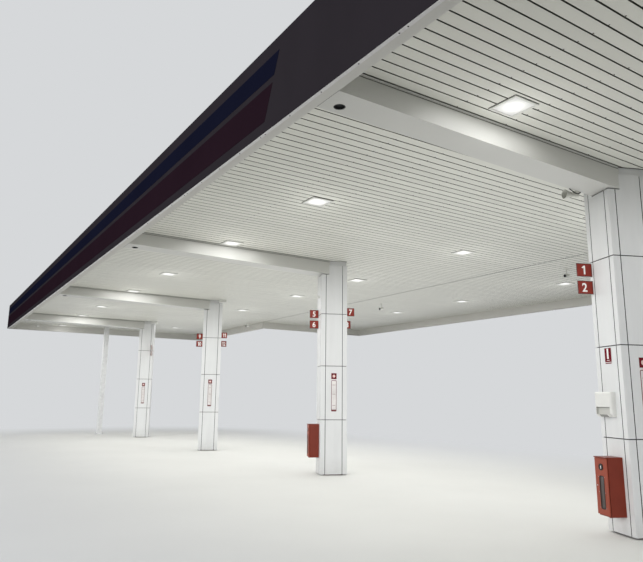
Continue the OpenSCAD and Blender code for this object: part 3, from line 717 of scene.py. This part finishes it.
class CANOPY_OT_fascia_finish(bpy.types.Operator):
    """Finishes the fascia boards and their two stripes"""

    bl_idname = "canopy.fascia_finish"
    bl_label = "Fascia"

    def execute(self, context):
        colours = context.scene.canopy_colours
        sides = {
            (0, -1, 0): ("fascia_front",),
            (1, 0, 0): ("fascia_near_end", "fascia_link_near"),
            (0, 1, 0): ("fascia_back_near", "fascia_link_back", "fascia_back_far"),
            (-1, 0, 0): ("fascia_link_far", "fascia_far_end"),
        }
        for outward, names in sides.items():
            board = finish(fascia_board, outward, "charcoal_composite_" + names[0], tuple(colours.fascia))
            coat_nodes(board, *names)
        coat_nodes(finish(vinyl_film, "maroon_vinyl_film", tuple(colours.maroon)), "maroon_stripes")
        coat_nodes(finish(vinyl_film, "navy_vinyl_film", tuple(colours.navy)), "blue_stripes")
        return {"FINISHED"}


class CANOPY_OT_roof_finish(bpy.types.Operator):
    """Finishes the roof sheets, the purlins and the gutter"""

    bl_idname = "canopy.roof_finish"
    bl_label = "Roof"

    def execute(self, context):
        coat_nodes(finish(ribbed_roof_sheet, tuple(context.scene.canopy_colours.roof)),
                   "roof_sheet_main", "roof_sheet_link")
        coat_nodes(finish(galvanised_steel), "purlins", "box_gutter")
        return {"FINISHED"}


class CANOPY_OT_fitting_finish(bpy.types.Operator):
    """Finishes the lamps, flags, cabinets, plates and moulded fittings"""

    bl_idname = "canopy.fitting_finish"
    bl_label = "Fittings"

    def execute(self, context):
        colours, sizes = context.scene.canopy_colours, context.scene.canopy_sizes
        coat_nodes(finish(enamel, "white_lamp_rim", linear("#d2d2cc")), "downlight_frames")
        coat_nodes(finish(opal_lens, sizes.glow), "downlight_lenses")
        coat_nodes(finish(enamel, "red_stoved_enamel", tuple(colours.flag), 0.2), "number_flags")
        coat_nodes(finish(enamel, "fire_red_enamel", tuple(colours.cabinet), 0.18), "cabinet_1_body", "cabinet_2_body")
        coat_nodes(finish(moulded, "moulded_red_door", tuple(colours.door)), "cabinet_1_door", "cabinet_2_door")
        coat_nodes(finish(moulded_dispenser, tuple(colours.plastic)), "towel_dispenser")
        coat_nodes(finish(moulded_fittings, tuple(colours.plastic)), "ceiling_fittings")
        coat_nodes(finish(enamel, "white_sign_board", linear("#dad6d4")), "sign_plates")
        return {"FINISHED"}


def outline_sides():
    """Number, start, end, direction and outward direction of each side of the canopy's outline."""
    corners = [(X_FAR, Y_FRONT), (X_NEAR, Y_FRONT), (X_NEAR, Y_BACK), (LINK_NEAR, Y_BACK), (LINK_NEAR, Y_LINK),
               (LINK_FAR, Y_LINK), (LINK_FAR, Y_BACK), (X_FAR, Y_BACK)]
    for k, start in enumerate(corners):
        a, b = Vector(start), Vector(corners[(k + 1) % len(corners)])
        along = (b - a).normalized()
        yield k, a, b, along, Vector((along.y, -along.x))


def sheet_joints(k, length):
    """Distances from the start of a side at which its edge trim is butt-jointed."""
    joints = [0.0]
    at = (FIRST_JOINT - X_FAR) % SHEET_LENGTH if k == 0 else SHEET_LENGTH
    while at < length - SHORTEST_SHEET:
        joints.append(at)
        at += SHEET_LENGTH
    return joints + [length]


class CANOPY_OT_edge_trim(bpy.types.Operator):
    """Lays the thin butt-jointed trim with its screws along the underside of the fascia's edge"""

    bl_idname = "canopy.edge_trim"
    bl_label = "Edge trim and screws"

    def execute(self, context):
        sizes = context.scene.canopy_sizes
        width = sizes.trim_w
        strips, heads = [], []
        for k, a, b, along, out in outline_sides():
            joints = sheet_joints(k, (b - a).length)
            for first, last in zip(joints, joints[1:]):
                start = first + (TRIM_GAP / 2 if first else (0.0 if k in FROM_INNER_CORNER else width))
                end = last - TRIM_GAP / 2 if last != joints[-1] else last + (width if k in TO_INNER_CORNER else 0.0)
                length = end - start
                middle = a + along * (start + end) / 2 - out * width / 2
                size = (length, width, TRIM_T) if abs(along.x) > 0.5 else (width, length, TRIM_T)
                strips.append(rounded_box(size, (middle.x, middle.y, CLEAR_Z - TRIM_T / 2), 0.0005, 1))
                sheet = last - first
                for at in (sheet * 0.25, sheet * 0.5, sheet * 0.75, TRIM_SCREW_INSET, sheet - TRIM_SCREW_INSET):
                    heads.append(a + along * (first + at) - out * TRIM_SCREW_IN)
        settle(joined(strips), "edge_trim", finish(solid_finish, "white_coated_angle", "#dcdbdb", 0.35),
               smooth=20)
        places = [Matrix.Translation((p.x, p.y, CLEAR_Z - TRIM_T)) @ UPSIDE_DOWN for p in heads]
        screws = joined(copies(pan_head_screw(sizes.screw_r, 0.004), places))
        settle(screws, "edge_trim_screws", finish(*WEATHERED_SCREW))
        return {"FINISHED"}


def flags():
    """Column, centre in the column's frame, width, facing axis and number of each number flag."""
    for i in range(COLUMNS - 1):
        width = NEAR_FLAG_W if i == 0 else FLAG_W
        for n in range(2):
            z, number = FLAG_TOPS[i] - n * FLAG_STEP - FLAG_H / 2, 4 * i + n + 1
            yield i, (FRONT_FLAG_X[i], -(COLUMN_D + width) / 2, z), width, "X", number
            yield i, (BACK_FLAG_X[n], (COLUMN_D + BACK_FLAG_W) / 2, z + BACK_RISE), BACK_FLAG_W, "X", number + 2
    far = COLUMNS - 1
    for n in range(2):
        z = FLAG_TOPS[far] - n * FLAG_STEP - FLAG_H / 2
        yield far, ((COLUMN_W + FLAG_W) / 2, FAR_FLAG_Y, z), FLAG_W, "Y", 4 * far + n + 1


def flag_faces(axis):
    """The two directions that a flag faces."""
    return (Vector((1, 0, 0)), Vector((-1, 0, 0))) if axis == "X" else (Vector((0, -1, 0)), Vector((0, 1, 0)))


def digit_film(digit, height):
    """One bold numeral cut from film, centred at its middle height."""
    clear_selection()
    bpy.ops.object.text_add()
    words = bpy.context.object
    thick, bolder = 0.008, 0.022
    words.data.body = digit
    words.data.extrude, words.data.offset, words.data.resolution_u = thick / 2, bolder, 5
    bpy.ops.object.convert(target="MESH")
    piece = bpy.context.object
    points = [v.co for v in piece.data.vertices]
    low = Vector(min(p[k] for p in points) for k in range(3))
    high = Vector(max(p[k] for p in points) for k in range(3))
    scale = height / (high.y - low.y)
    size = Matrix.Diagonal((scale * 0.95, scale, FILM_T / thick, 1))
    piece.data.transform(size @ Matrix.Translation(-(low + high) / 2))
    return piece


def one_film(height):
    """A bold numeral one cut from film: an upright with a slanted flag at its top."""
    stem = rounded_box((height * 0.2, height, FILM_T), (height * 0.1, 0, 0), 0.0001, 1)
    flag = rounded_box((height * 0.34, height * 0.15, 0.0005), edge=0.0001, segments=1)
    slant = Matrix.Rotation(math.radians(36), 4, "Z")
    flag.data.transform(Matrix.Translation((-height * 0.05, height * 0.34, 0)) @ slant)
    return joined([stem, flag])


def film_span(piece):
    """The lowest and highest x of a piece."""
    along = [v.co.x for v in piece.data.vertices]
    return min(along), max(along)


class CANOPY_OT_flag_numerals(bpy.types.Operator):
    """Puts a white numeral on both faces of each number flag"""

    bl_idname = "canopy.flag_numerals"
    bl_label = "Numerals"

    def execute(self, context):
        height = context.scene.canopy_sizes.numeral_h
        made = []
        for i, centre, width, axis, number in flags():
            digits = [one_film(height) if digit == "1" else digit_film(digit, height) for digit in str(number)]
            squeeze, gap = (1.0, 0.0) if number < 10 else (0.85, height * 0.06)
            spans = [film_span(piece) for piece in digits]
            at = -(sum(high - low for low, high in spans) + gap * (len(digits) - 1)) / 2
            for piece, (low, high) in zip(digits, spans):
                piece.data.transform(Matrix.Diagonal((squeeze, 1, 1, 1)) @ Matrix.Translation((at - low, 0, 0)))
                at += high - low + gap
            on_face = Matrix.Translation((0, 0, FLAG_T / 2 + 0.0002))
            outer = NEAR_NUMERAL_Y if number < 3 else 0
            middle = Vector(centre) + Vector((0, outer, 0))
            faces = [at_column(i) @ facing(way, middle) @ on_face for way in flag_faces(axis)]
            made += copies(joined(digits), faces)
        settle(joined(made), "flag_numerals", finish(vinyl_film, "white_vinyl_film", linear("#f6f5f2")))
        return {"FINISHED"}


class CANOPY_OT_flag_edges(bpy.types.Operator):
    """Folds a darker rim round each number flag"""

    bl_idname = "canopy.flag_edges"
    bl_label = "Flag rims"

    def execute(self, context):
        made = []
        slack, rim, proud = 0.001, 0.009, 0.002
        for i, centre, width, axis, number in flags():
            frame_piece = flat_ring(width + slack, FLAG_H + slack, rim, FLAG_T + 2 * proud,
                                    (0, 0, -(FLAG_T / 2 + proud)), edge=0.0008)
            made += copies(frame_piece, [at_column(i) @ facing(flag_faces(axis)[0], centre)])
        settle(joined(made), "flag_rims", finish(enamel, "dark_red_enamel", linear("#57211d")))
        return {"FINISHED"}


def cabinet_place(i):
    """A cabinet's frame: x across, -y out of the column, z up from its bottom, with the door's face at y 0."""
    return at_column(i) @ Matrix.Translation((0, -COLUMN_D / 2 - CABINET_D, CABINET_Z[i]))


class CANOPY_OT_cabinet_doors(bpy.types.Operator):
    """Fits a tinted window, a lock, a latch and screws to each cabinet door"""

    bl_idname = "canopy.cabinet_doors"
    bl_label = "Cabinet doors"

    def execute(self, context):
        tint = finish(solid_finish, "tinted_polycarbonate", "#4b4340", 0.3, 0.0, 1.45)
        rubber = finish(solid_finish, "black_rubber_gasket", "#2c2524", 0.8)
        black = finish(solid_finish, "moulded_black_nylon", "#141414", 0.7)
        steel = finish(solid_finish, "stainless_screw", "#b9bbbc", 0.3, 0.9)
        white = finish(vinyl_film, "white_vinyl_film", linear("#f2f0ee"))
        outward, inward = Vector((0, -1, 0)), Vector((0, 1, 0))
        (x, z), (width, height), pane_t, lip = WINDOW_AT, WINDOW_SIZE, 0.003, 0.01
        at_lock, at_latch = facing(outward, LOCK_AT), facing(outward, LATCH_AT)
        spots = [facing(outward, (x, 0, z)) for x in (-DOOR_SCREW_X, DOOR_SCREW_X) for z in DOOR_SCREW_Z]
        for i in range(2):
            pane = rounded_box((width, height, pane_t), edge=0.0013)
            panes = copies(pane, [facing(outward, (x, pane_t * 1.5, z)),
                                  facing(inward, (x, DOOR_T + 0.0005, z))])
            gasket = flat_ring(width + 2 * lip, height + 2 * lip, lip + 0.001, 0.003, corner=0.03, segments=6)
            gaskets = copies(gasket, [facing(outward, (x, 0, z)), facing(inward, (x, DOOR_T, z))])
            lock = rounded_disc(0.042, 0.0085, 40, 0.002)
            sink_end(lock, 1, 0.006, -0.0015)
            lock.data.transform(at_lock)
            pointer = rounded_box((0.011, 0.038, 0.004), (0.006, -0.002, 0.0085), 0.001)
            pointer.data.transform(at_lock)
            latch = rounded_disc(0.009, 0.005, 24, 0.002)
            latch.data.transform(at_latch)
            screws = copies(pan_head_screw(0.004, 0.002), spots)
            for name, pieces, material in (("window", panes, tint), ("window_gasket", gaskets, rubber),
                                           ("lock", [lock], black), ("lock_pointer", [pointer], white),
                                           ("latch", [latch], steel), ("door_screws", screws, steel)):
                settle(joined(pieces), f"cabinet_{i + 1}_{name}", material, f"door_{i + 1}",
                       place=cabinet_place(i))
        return {"FINISHED"}


def film_patch(width, height, x, y, on=0.0, thick=FILM_T):
    """A rectangle of film with its middle at x and y, that lies on z = 0 or on the height of a film below."""
    return rounded_box((width, height, thick), (x, y, on + thick / 2), 0.0002, 1)


class CANOPY_OT_notice_faces(bpy.types.Operator):
    """Puts a crimson head panel and a bare framed field on each notice plate"""

    bl_idname = "canopy.notice_faces"
    bl_label = "Notice faces"

    def execute(self, context):
        crimson = finish(vinyl_film, "crimson_notice_film", linear("#6b1d26"))
        dull_red = finish(vinyl_film, "dull_red_film", linear("#7a4c4e"))
        pale = finish(vinyl_film, "pale_film", linear("#e6cdc6"))
        edge, line, thin = 0.003, 0.011, FILM_T * 0.8
        head_h, head_gap, foot_h = 0.132, 0.028, 0.03
        bar_w, bar_h, bars_down, disc_r = 0.066, 0.007, (0.105, 0.31, 0.56), 0.032
        width, top, low = NOTICE_W - 2 * edge, NOTICE_H / 2 - edge, edge - NOTICE_H / 2
        high = top - head_h - head_gap
        heads, discs, borders = [], [], []
        for i in range(COLUMNS):
            face = at_column(i) @ facing((1, 0, 0), (COLUMN_W / 2 + SIGN_T, 0, NOTICE_Z + NOTICE_H / 2))
            heads += copies(film_patch(width, head_h, 0, top - head_h / 2), [face])
            disc = rounded_disc(disc_r, FILM_T, 32, 0.0002, 1)
            discs += copies(disc, [face @ Matrix.Translation((0, top - head_h / 2, FILM_T))])
            border = flat_ring(width, high - low, line, FILM_T, (0, (low + high) / 2, 0), corner=0.02, segments=4)
            foot = film_patch(width - 2 * line, foot_h, 0, low + line + foot_h / 2, thick=thin)
            bars = [film_patch(bar_w, bar_h, 0, high - down, thick=thin) for down in bars_down]
            borders += copies(joined([border, foot] + bars), [face])
        settle(joined(heads), "notice_heads", crimson)
        settle(joined(discs), "notice_discs", pale)
        settle(joined(borders), "notice_borders", dull_red)
        return {"FINISHED"}


class CANOPY_OT_small_sign(bpy.types.Operator):
    """Lays the red film with its bare white field on the small plate on column 1"""

    bl_idname = "canopy.small_sign"
    bl_label = "Small plate"

    def execute(self, context):
        low, high = SMALL_PLATE_Z
        half = (high - low) / 2
        face = at_column(0) @ facing((0, -1, 0), (0, -COLUMN_D / 2 - SIGN_T, (low + high) / 2))
        red = finish(vinyl_film, "crimson_vinyl_film", linear("#6f1f29"))
        white = finish(vinyl_film, "white_vinyl_film", linear("#f2f0ee"))
        field_h, foot_h, edge = 0.186, 0.013, 0.002
        field = film_patch(SMALL_PLATE_W - 2 * edge, field_h, 0, half - edge - field_h / 2)
        foot = film_patch(SMALL_PLATE_W - 8 * edge, foot_h, 0, edge + foot_h / 2 - half)
        panel = film_patch(0.034, 0.138, -0.004, 0.028, FILM_T)
        rule = film_patch(0.056, 0.007, 0, -0.06, FILM_T)
        settle(joined([field, foot]), "small_plate_film", red, place=face)
        settle(joined([panel, rule]), "small_plate_field", white, place=face)
        return {"FINISHED"}


def camera_back(x, y):
    """The middle of the back end of a hanging camera."""
    return Vector((x, y + 0.06, SOFFIT_Z - 0.15))


class CANOPY_OT_camera_lenses(bpy.types.Operator):
    """Puts a black window on each of the small hanging cameras"""

    bl_idname = "canopy.camera_lenses"
    bl_label = "Hanging cameras"

    def execute(self, context):
        places = [facing(CAMERA_AIM, camera_back(x, y) + CAMERA_AIM * CAMERA_L) for x, y in CAMERAS]
        lenses = joined(copies(rounded_disc(0.027, 0.004, 24, 0.0012), places))
        settle(lenses, "camera_windows", finish(solid_finish, "black_camera_glass", "#0d0d10", 0.08, 0.0, 1.52))
        return {"FINISHED"}


class CANOPY_OT_speaker_mouth(bpy.types.Operator):
    """Fits a rolled rim and an inner horn to the mouth of the speaker"""

    bl_idname = "canopy.speaker_mouth"
    bl_label = "Speaker mouth"

    def execute(self, context):
        place = (Matrix.Translation(HORN_MOUTH) @ Matrix.Rotation(-HORN_TURN, 4, "Z")
                 @ Matrix.Rotation(math.radians(90), 4, "X"))
        plastic = finish(solid_finish, "grey_horn_plastic", "#cacac2", 0.45)
        roll_r = 0.004
        clear_selection()
        bpy.ops.mesh.primitive_torus_add(major_radius=HORN_R - roll_r / 2, minor_radius=roll_r, major_segments=40,
                                         minor_segments=8, location=(0, 0, -roll_r / 2))
        settle(context.object, "speaker_rim", plastic, place=place)
        inner = rounded_disc(0.024, 0.05, 28, 0.004)
        sink_end(inner, 1, 0.006, -0.004)
        settle(inner, "speaker_inner_horn", plastic,
               place=place @ Matrix.Translation((0, 0, 0.009 - HORN_L)))
        return {"FINISHED"}


def smooth_path(knots, steps):
    """Points along a smooth curve through the knots, with a number of steps between two of them."""
    ends = [2 * knots[0] - knots[1]] + knots + [2 * knots[-1] - knots[-2]]
    path = []
    for a, b, c, d in zip(ends, ends[1:], ends[2:], ends[3:]):
        for n in range(steps):
            t = n / steps
            path.append(0.5 * (2 * b + (c - a) * t + (2 * a - 5 * b + 4 * c - d) * t ** 2
                               + (3 * b - a - 3 * c + d) * t ** 3))
    return path + [knots[-1]]


class CANOPY_OT_speaker_cable(bpy.types.Operator):
    """Hangs the speaker's black cable in a short loop under the edge of beam 1"""

    bl_idname = "canopy.speaker_cable"
    bl_label = "Speaker cable"

    def execute(self, context):
        path = smooth_path([Vector((CABLE_X, y, z)) for y, z in CABLE_KNOTS], 5)
        clear_selection()
        curve = bpy.data.curves.new("speaker_cable", "CURVE")
        curve.dimensions, curve.bevel_depth, curve.bevel_resolution = "3D", CABLE_D / 2, 3
        curve.use_fill_caps = True
        line = curve.splines.new("POLY")
        line.points.add(len(path) - 1)
        for point, place in zip(line.points, path):
            point.co = (*place, 1)
        cable = bpy.data.objects.new("speaker_cable", curve)
        context.scene.collection.objects.link(cable)
        lone(cable)
        bpy.ops.object.convert(target="MESH")
        settle(context.object, "speaker_cable", finish(moulded, "black_cable_sheath", linear("#161616"), 0.6),
               smooth=50)
        return {"FINISHED"}


class CANOPY_OT_beam_holes(bpy.types.Operator):
    """Closes the round hole in the underside of each beam with a black cup, painted shade of the hollow inside, in a
    black rubber rim
    """

    bl_idname = "canopy.beam_holes"
    bl_label = "Beam hole shade cups"

    def execute(self, context):
        # The black cup stands for the dark hollow inside the beam: painted shade; the rim is black rubber
        black = finish(solid_finish, "matt_black_cup", "#121212", 0.8)
        places = [Matrix.Translation((-BAY * i + BEAM_HOLE_X, BEAM_HOLE_Y, CLEAR_Z - 0.0015)) for i in range(COLUMNS)]
        cup = rounded_disc(0.0545, 0.03, 40, 0.001, 1)
        sink_end(cup, -1, 0.003, 0.026)
        settle(joined(copies(cup, places)), "beam_hole_shade_cups", black)
        clear_selection()
        bpy.ops.mesh.primitive_torus_add(major_radius=0.059, minor_radius=0.005, major_segments=40, minor_segments=6)
        rim = context.object
        rim.scale = (1, 1, 0.4)
        lone(rim)
        bpy.ops.object.transform_apply(location=True, rotation=True, scale=True)
        settle(joined(copies(rim, places)), "beam_hole_rims", black)
        return {"FINISHED"}


def lamps():
    """Centre of every lamp."""
    for i, (offsets, y) in enumerate(FRONT_LAMPS):
        for x in offsets:
            yield -BAY * i + x, y
    for (offsets, y), bays in ((BACK_LAMPS, range(COLUMNS)), (LINK_LAMPS, (1, 2))):
        for i in bays:
            for x in offsets:
                yield -BAY * i + x, y


class CANOPY_OT_lamp_gaskets(bpy.types.Operator):
    """Lays a thin dark ring round the frame of each lamp: painted shade of the gap between frame and pans"""

    bl_idname = "canopy.lamp_gaskets"
    bl_label = "Lamp gap shade rings"

    def execute(self, context):
        width, proud = context.scene.canopy_sizes.gasket_w, 0.003
        side = LAMP_W + 2 * width
        gasket = flat_ring(side, side, width + 0.001, proud, (0, 0, -proud), corner=0.02, segments=3)
        places = [Matrix.Translation((x, y, SOFFIT_Z)) for x, y in lamps()]
        # The dark ring stands for the shade in the gap round the frame: painted shade
        rubber = finish(solid_finish, "dark_lamp_gasket", "#3a3a37", 0.8)
        settle(joined(copies(gasket, places)), "lamp_gaskets", rubber)
        return {"FINISHED"}


def off_column(x):
    """How far a place lies from the nearest column line, along the canopy."""
    return (x + BAY / 2) % BAY - BAY / 2


def free_of_fittings(x, y):
    """Whether a place on the ceiling is clear of lamps, beams and columns."""
    off, clear_of_column, clear_of_beam, clear_of_lamp = off_column(x), 0.46, 0.03, 0.015
    between_ends = -BAY * (COLUMNS - 1) - 0.8 < x < 0.8
    if between_ends and (math.hypot(off, y) < clear_of_column or (abs(off) < BEAM_W / 2 + clear_of_beam and y < 0)):
        return False
    return all(max(abs(x - a), abs(y - b)) > LAMP_W / 2 + clear_of_lamp for a, b in lamps())


class CANOPY_OT_pan_screws(bpy.types.Operator):
    """Fixes the ceiling pans to their rails with a screw beside each joint"""

    bl_idname = "canopy.pan_screws"
    bl_label = "Ceiling screws"

    def execute(self, context):
        first_rail, rail_step, beside_joint = 1.56, 0.8, 0.017
        spots = []
        for x0, x1, y0, y1 in ((X_FAR + BAND_W, X_NEAR - BAND_W, Y_FRONT + BAND_W, Y_BACK - BAND_W),
                               (LINK_FAR + BAND_W, LINK_NEAR - BAND_W, Y_BACK - BAND_W, Y_LINK - BAND_W)):
            first = math.ceil((x0 - PAN_PITCH / 2) / PAN_PITCH)
            last = math.floor((x1 - PAN_PITCH / 2) / PAN_PITCH)
            rails = [y0 + first_rail + rail_step * n for n in range(int((y1 - y0 - 2 * rail_step) / rail_step) + 1)]
            spots += [((k + 0.5) * PAN_PITCH + beside_joint, y) for k in range(first, last) for y in rails]
        screw = rounded_disc(0.0075, 0.003, 8, 0.0015, 1)
        edit_faces(screw, lambda centre, normal: normal.z < -0.9)
        bpy.ops.mesh.delete(type="FACE")
        close_edit()
        places = [Matrix.Translation((x, y, SOFFIT_Z + 0.0002)) @ UPSIDE_DOWN
                  for x, y in spots if free_of_fittings(x, y)]
        settle(joined(copies(screw, places)), "ceiling_screws", finish(*WEATHERED_SCREW))
        return {"FINISHED"}


class CANOPY_OT_roof_screws(bpy.types.Operator):
    """Fixes the roof sheets with washered screws on the ribs above each purlin"""

    bl_idname = "canopy.roof_screws"
    bl_label = "Roof screws"

    def execute(self, context):
        rib_pitch, fall, edge_y = 0.24, math.radians(1.5), 0.1
        places = []
        for node, rows, falls_to_back in (("roof_sheet_main", 7, True), ("roof_sheet_link", 4, False)):
            low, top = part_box(node)
            wide, deep = top.x - low.x, top.y - low.y
            ribs = int(wide / rib_pitch + 1e-6)
            margin = (wide - ribs * rib_pitch) / 2
            for row in range(rows):
                y = low.y + edge_y + (deep - 2 * edge_y) * row / (rows - 1)
                up_slope = top.y - y if falls_to_back else y - low.y
                z = top.z - (deep - up_slope) * math.tan(fall)
                places += [Matrix.Translation((low.x + margin + (k + 0.5) * rib_pitch, y, z))
                           for k in range(0, ribs, 2)]
        washer = rounded_disc(0.012, 0.003, 10, 0.001, 1)
        head = rounded_disc(0.007, 0.008, 6, 0.001, 1)
        screws = joined(copies(joined([washer, head]), places))
        settle(screws, "roof_screws", finish(galvanised_steel))
        return {"FINISHED"}


class CANOPY_OT_post_anchors(bpy.types.Operator):
    """Bolts the slim post's foot to the ground"""

    bl_idname = "canopy.post_anchors"
    bl_label = "Post anchors"

    def execute(self, context):
        low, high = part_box("slim_post")
        foot_top, inset = 0.02, 0.032
        nut = rounded_disc(0.014, 0.012, 6, 0.002, 1)
        stud = rounded_disc(0.007, 0.024, 14, 0.002, 1)
        places = [Matrix.Translation((x, y, foot_top)) for y in (low.y + inset, high.y - inset)
                  for x in (low.x + inset, high.x - inset)]
        settle(joined(copies(joined([nut, stud]), places)), "post_anchors", finish(galvanised_steel))
        return {"FINISHED"}


def showing_rays(tree):
    """1 for camera, glossy and transmission rays, which show the backdrop, and 0 for rays that carry light."""
    rays = add_node(tree, "LightPath").outputs
    seen = add_node(tree, "Math", rays["Is Camera Ray"], rays["Is Glossy Ray"], operation="MAXIMUM")
    return add_node(tree, "Math", seen, rays["Is Transmission Ray"], operation="MAXIMUM")


def pale_floor():
    """Pale studio floor that runs out into the backdrop's colour, and sends little light back from outside."""
    material = new_finish("pale_studio_floor", {"Roughness": 0.9, "IOR": 1.3})
    tree, shader = material.node_tree, material.node_tree.nodes["shader"]
    inset, dull_from, dull_over, fade_over = 3.0, 0.5, 3.0, 6.0
    middle = ((X_NEAR + X_FAR) / 2, (Y_FRONT + Y_BACK) / 2, 0)
    half = ((X_NEAR - X_FAR) / 2 - inset, (Y_BACK - Y_FRONT) / 2 - inset, 9)
    off = add_node(tree, "TexCoord").outputs["Object"]
    for operation, *value in (("SUBTRACT", middle), ("ABSOLUTE",), ("SUBTRACT", half), ("MAXIMUM", (0, 0, 0))):
        off = add_node(tree, "VectorMath", off, *value, operation=operation)
    away = add_node(tree, "VectorMath", off, operation="LENGTH")
    far = add_node(tree, "MapRange", away, 0.0, inset + fade_over, interpolation_type="SMOOTHSTEP")
    beyond = add_node(tree, "MapRange", away, inset, inset + dull_over, dull_from)
    seen = showing_rays(tree)
    unseen = add_node(tree, "Math", 1.0, seen, operation="SUBTRACT")
    dull = add_node(tree, "Math", beyond, unseen, operation="MULTIPLY")
    pale = mottled(tree, 0.35, rgba(linear("#d6d6d3")), rgba(linear("#dbdbd8")))
    feed(tree, add_node(tree, "Mix", dull, pale, rgba(linear("#7b7b79")), data_type="RGBA"),
         shader.inputs["Base Color"])
    glow = add_node(tree, "Emission", rgba(linear(BACKDROP)), 1.0)
    faded = add_node(tree, "Math", far, seen, operation="MULTIPLY")
    feed(tree, add_node(tree, "MixShader", faded, shader, glow), tree.nodes["ending"].inputs["Surface"])
    return material


def studio_world():
    """A plain pale world: an even light for the model, and the backdrop's colour wherever it shows."""
    world = bpy.data.worlds.new("studio")
    world.use_nodes = True
    tree = world.node_tree
    tree.nodes.clear()
    light = add_node(tree, "Background", (0.95, 0.975, 1.0, 1), WORLD_STRENGTH)
    backdrop = add_node(tree, "Background", rgba(linear(BACKDROP)), 1.0)
    add_node(tree, "OutputWorld", add_node(tree, "MixShader", showing_rays(tree), light, backdrop))
    return world


def hung_light(name, lamp, at, aim):
    """Puts a light in its place, turned to its aim and unseen by the camera."""
    lit = bpy.data.objects.new(name, lamp)
    bpy.context.scene.collection.objects.link(lit)
    lit.location = at
    lit.rotation_mode = "QUATERNION"
    lit.rotation_quaternion = (Vector(aim) - Vector(at)).to_track_quat("-Z", "Y")
    lit.visible_camera = False
    return lit


def soft_lamp(name, at, aim, size, watts):
    """A flat light, as wide and high as its size, that shines from one place to another."""
    lamp = bpy.data.lights.new(name, "AREA")
    lamp.shape, lamp.size, lamp.size_y, lamp.energy = "RECTANGLE", size[0], size[1], watts
    return hung_light(name, lamp, at, aim)


def lamp_rows():
    """Start, end and Y of each stretch of a lamp row that no beam crosses."""
    bays = [-BAY * i for i in range(COLUMNS)]
    front, beside_beam = FRONT_LAMPS[0][1], 0.4
    yield bays[0] + 1.3, bays[0] + beside_beam, front
    for a, b in zip(bays, bays[1:]):
        yield a - beside_beam, b + beside_beam, front
    yield bays[-1] - beside_beam, X_FAR + 1.1, front
    yield bays[0] + 2.8, X_FAR + 2.7, BACK_LAMPS[1]
    yield LINK_NEAR - 2.4, LINK_FAR + 2.0, LINK_LAMPS[1]


class CANOPY_OT_stage(bpy.types.Operator):
    """Lays the pale floor and sets the soft studio light"""

    bl_idname = "canopy.stage"
    bl_label = "Stage"

    def execute(self, context):
        scene, sizes = context.scene, context.scene.canopy_sizes
        clear_selection()
        bpy.ops.mesh.primitive_plane_add(size=900, location=(-10.8, 2, -0.002))
        floor = context.object
        bpy.ops.object.transform_apply(location=True, rotation=False, scale=False)
        floor.name = "studio_floor"
        floor.data.materials.append(pale_floor())
        scene.world = studio_world()
        for light in SOFT_LIGHTS:
            soft_lamp(*light)
        for n, (start, end, y) in enumerate(lamp_rows()):
            length, middle = start - end, (start + end) / 2
            soft_lamp(f"lamp_row_{n + 1}", (middle, y, SOFFIT_Z - 0.02), (middle, y, 0), (length, 1.6),
                      sizes.lamp_power * length)
        for n, (x, y, wide, deep) in enumerate(FLOOR_BOUNCES):
            bounce = soft_lamp(f"floor_bounce_{n + 1}", (x, y, 0.02), (x, y, 4), (wide, deep),
                               BOUNCE_POWER * wide * deep)
            bounce.data.spread = math.radians(105)
        for n, (x, y) in enumerate(lamps()):
            off = off_column(x)
            x += math.copysign(max(0.0, HALO_OFF_BEAM - abs(off)), off)
            halo = bpy.data.lights.new(f"lamp_halo_{n + 1}", "POINT")
            halo.energy, halo.shadow_soft_size = sizes.halo_power, 0.12
            hung_light(halo.name, halo, (x, y, HALO_Z), (x, y, 0)).visible_glossy = False
        scene.view_settings.view_transform = "Standard"
        return {"FINISHED"}


STEPS = (
    CANOPY_OT_view, CANOPY_OT_column_finish, CANOPY_OT_beam_finish, CANOPY_OT_soffit_finish,
    CANOPY_OT_fascia_finish, CANOPY_OT_roof_finish, CANOPY_OT_fitting_finish, CANOPY_OT_edge_trim,
    CANOPY_OT_flag_numerals, CANOPY_OT_flag_edges, CANOPY_OT_cabinet_doors, CANOPY_OT_notice_faces,
    CANOPY_OT_small_sign, CANOPY_OT_camera_lenses, CANOPY_OT_speaker_mouth, CANOPY_OT_speaker_cable,
    CANOPY_OT_beam_holes, CANOPY_OT_lamp_gaskets, CANOPY_OT_pan_screws, CANOPY_OT_roof_screws,
    CANOPY_OT_post_anchors, CANOPY_OT_stage,
)


class CANOPY_PT_sidebar(bpy.types.Panel):
    """Lists the steps that build the canopy's looks"""

    bl_idname = "CANOPY_PT_sidebar"
    bl_label = "Filling station canopy"
    bl_space_type = "VIEW_3D"
    bl_region_type = "UI"
    bl_category = "Canopy"

    def draw(self, context):
        for group in (context.scene.canopy_sizes, context.scene.canopy_colours):
            for name in group.__annotations__:
                self.layout.prop(group, name)
        for step in STEPS:
            self.layout.operator(step.bl_idname)


def register():
    """Registers the properties, the operators and the panel."""
    for kind in (CanopyColours, CanopySizes) + STEPS + (CANOPY_PT_sidebar,):
        bpy.utils.register_class(kind)
    bpy.types.Scene.canopy_colours = PointerProperty(type=CanopyColours)
    bpy.types.Scene.canopy_sizes = PointerProperty(type=CanopySizes)


def unregister():
    """Takes them away again."""
    del bpy.types.Scene.canopy_colours
    del bpy.types.Scene.canopy_sizes
    for kind in reversed((CanopyColours, CanopySizes) + STEPS + (CANOPY_PT_sidebar,)):
        bpy.utils.unregister_class(kind)


def main():
    """Builds everything in order."""
    register()
    for step in STEPS:
        group, name = step.bl_idname.split(".")
        getattr(getattr(bpy.ops, group), name)()


if __name__ == "__main__":
    main()
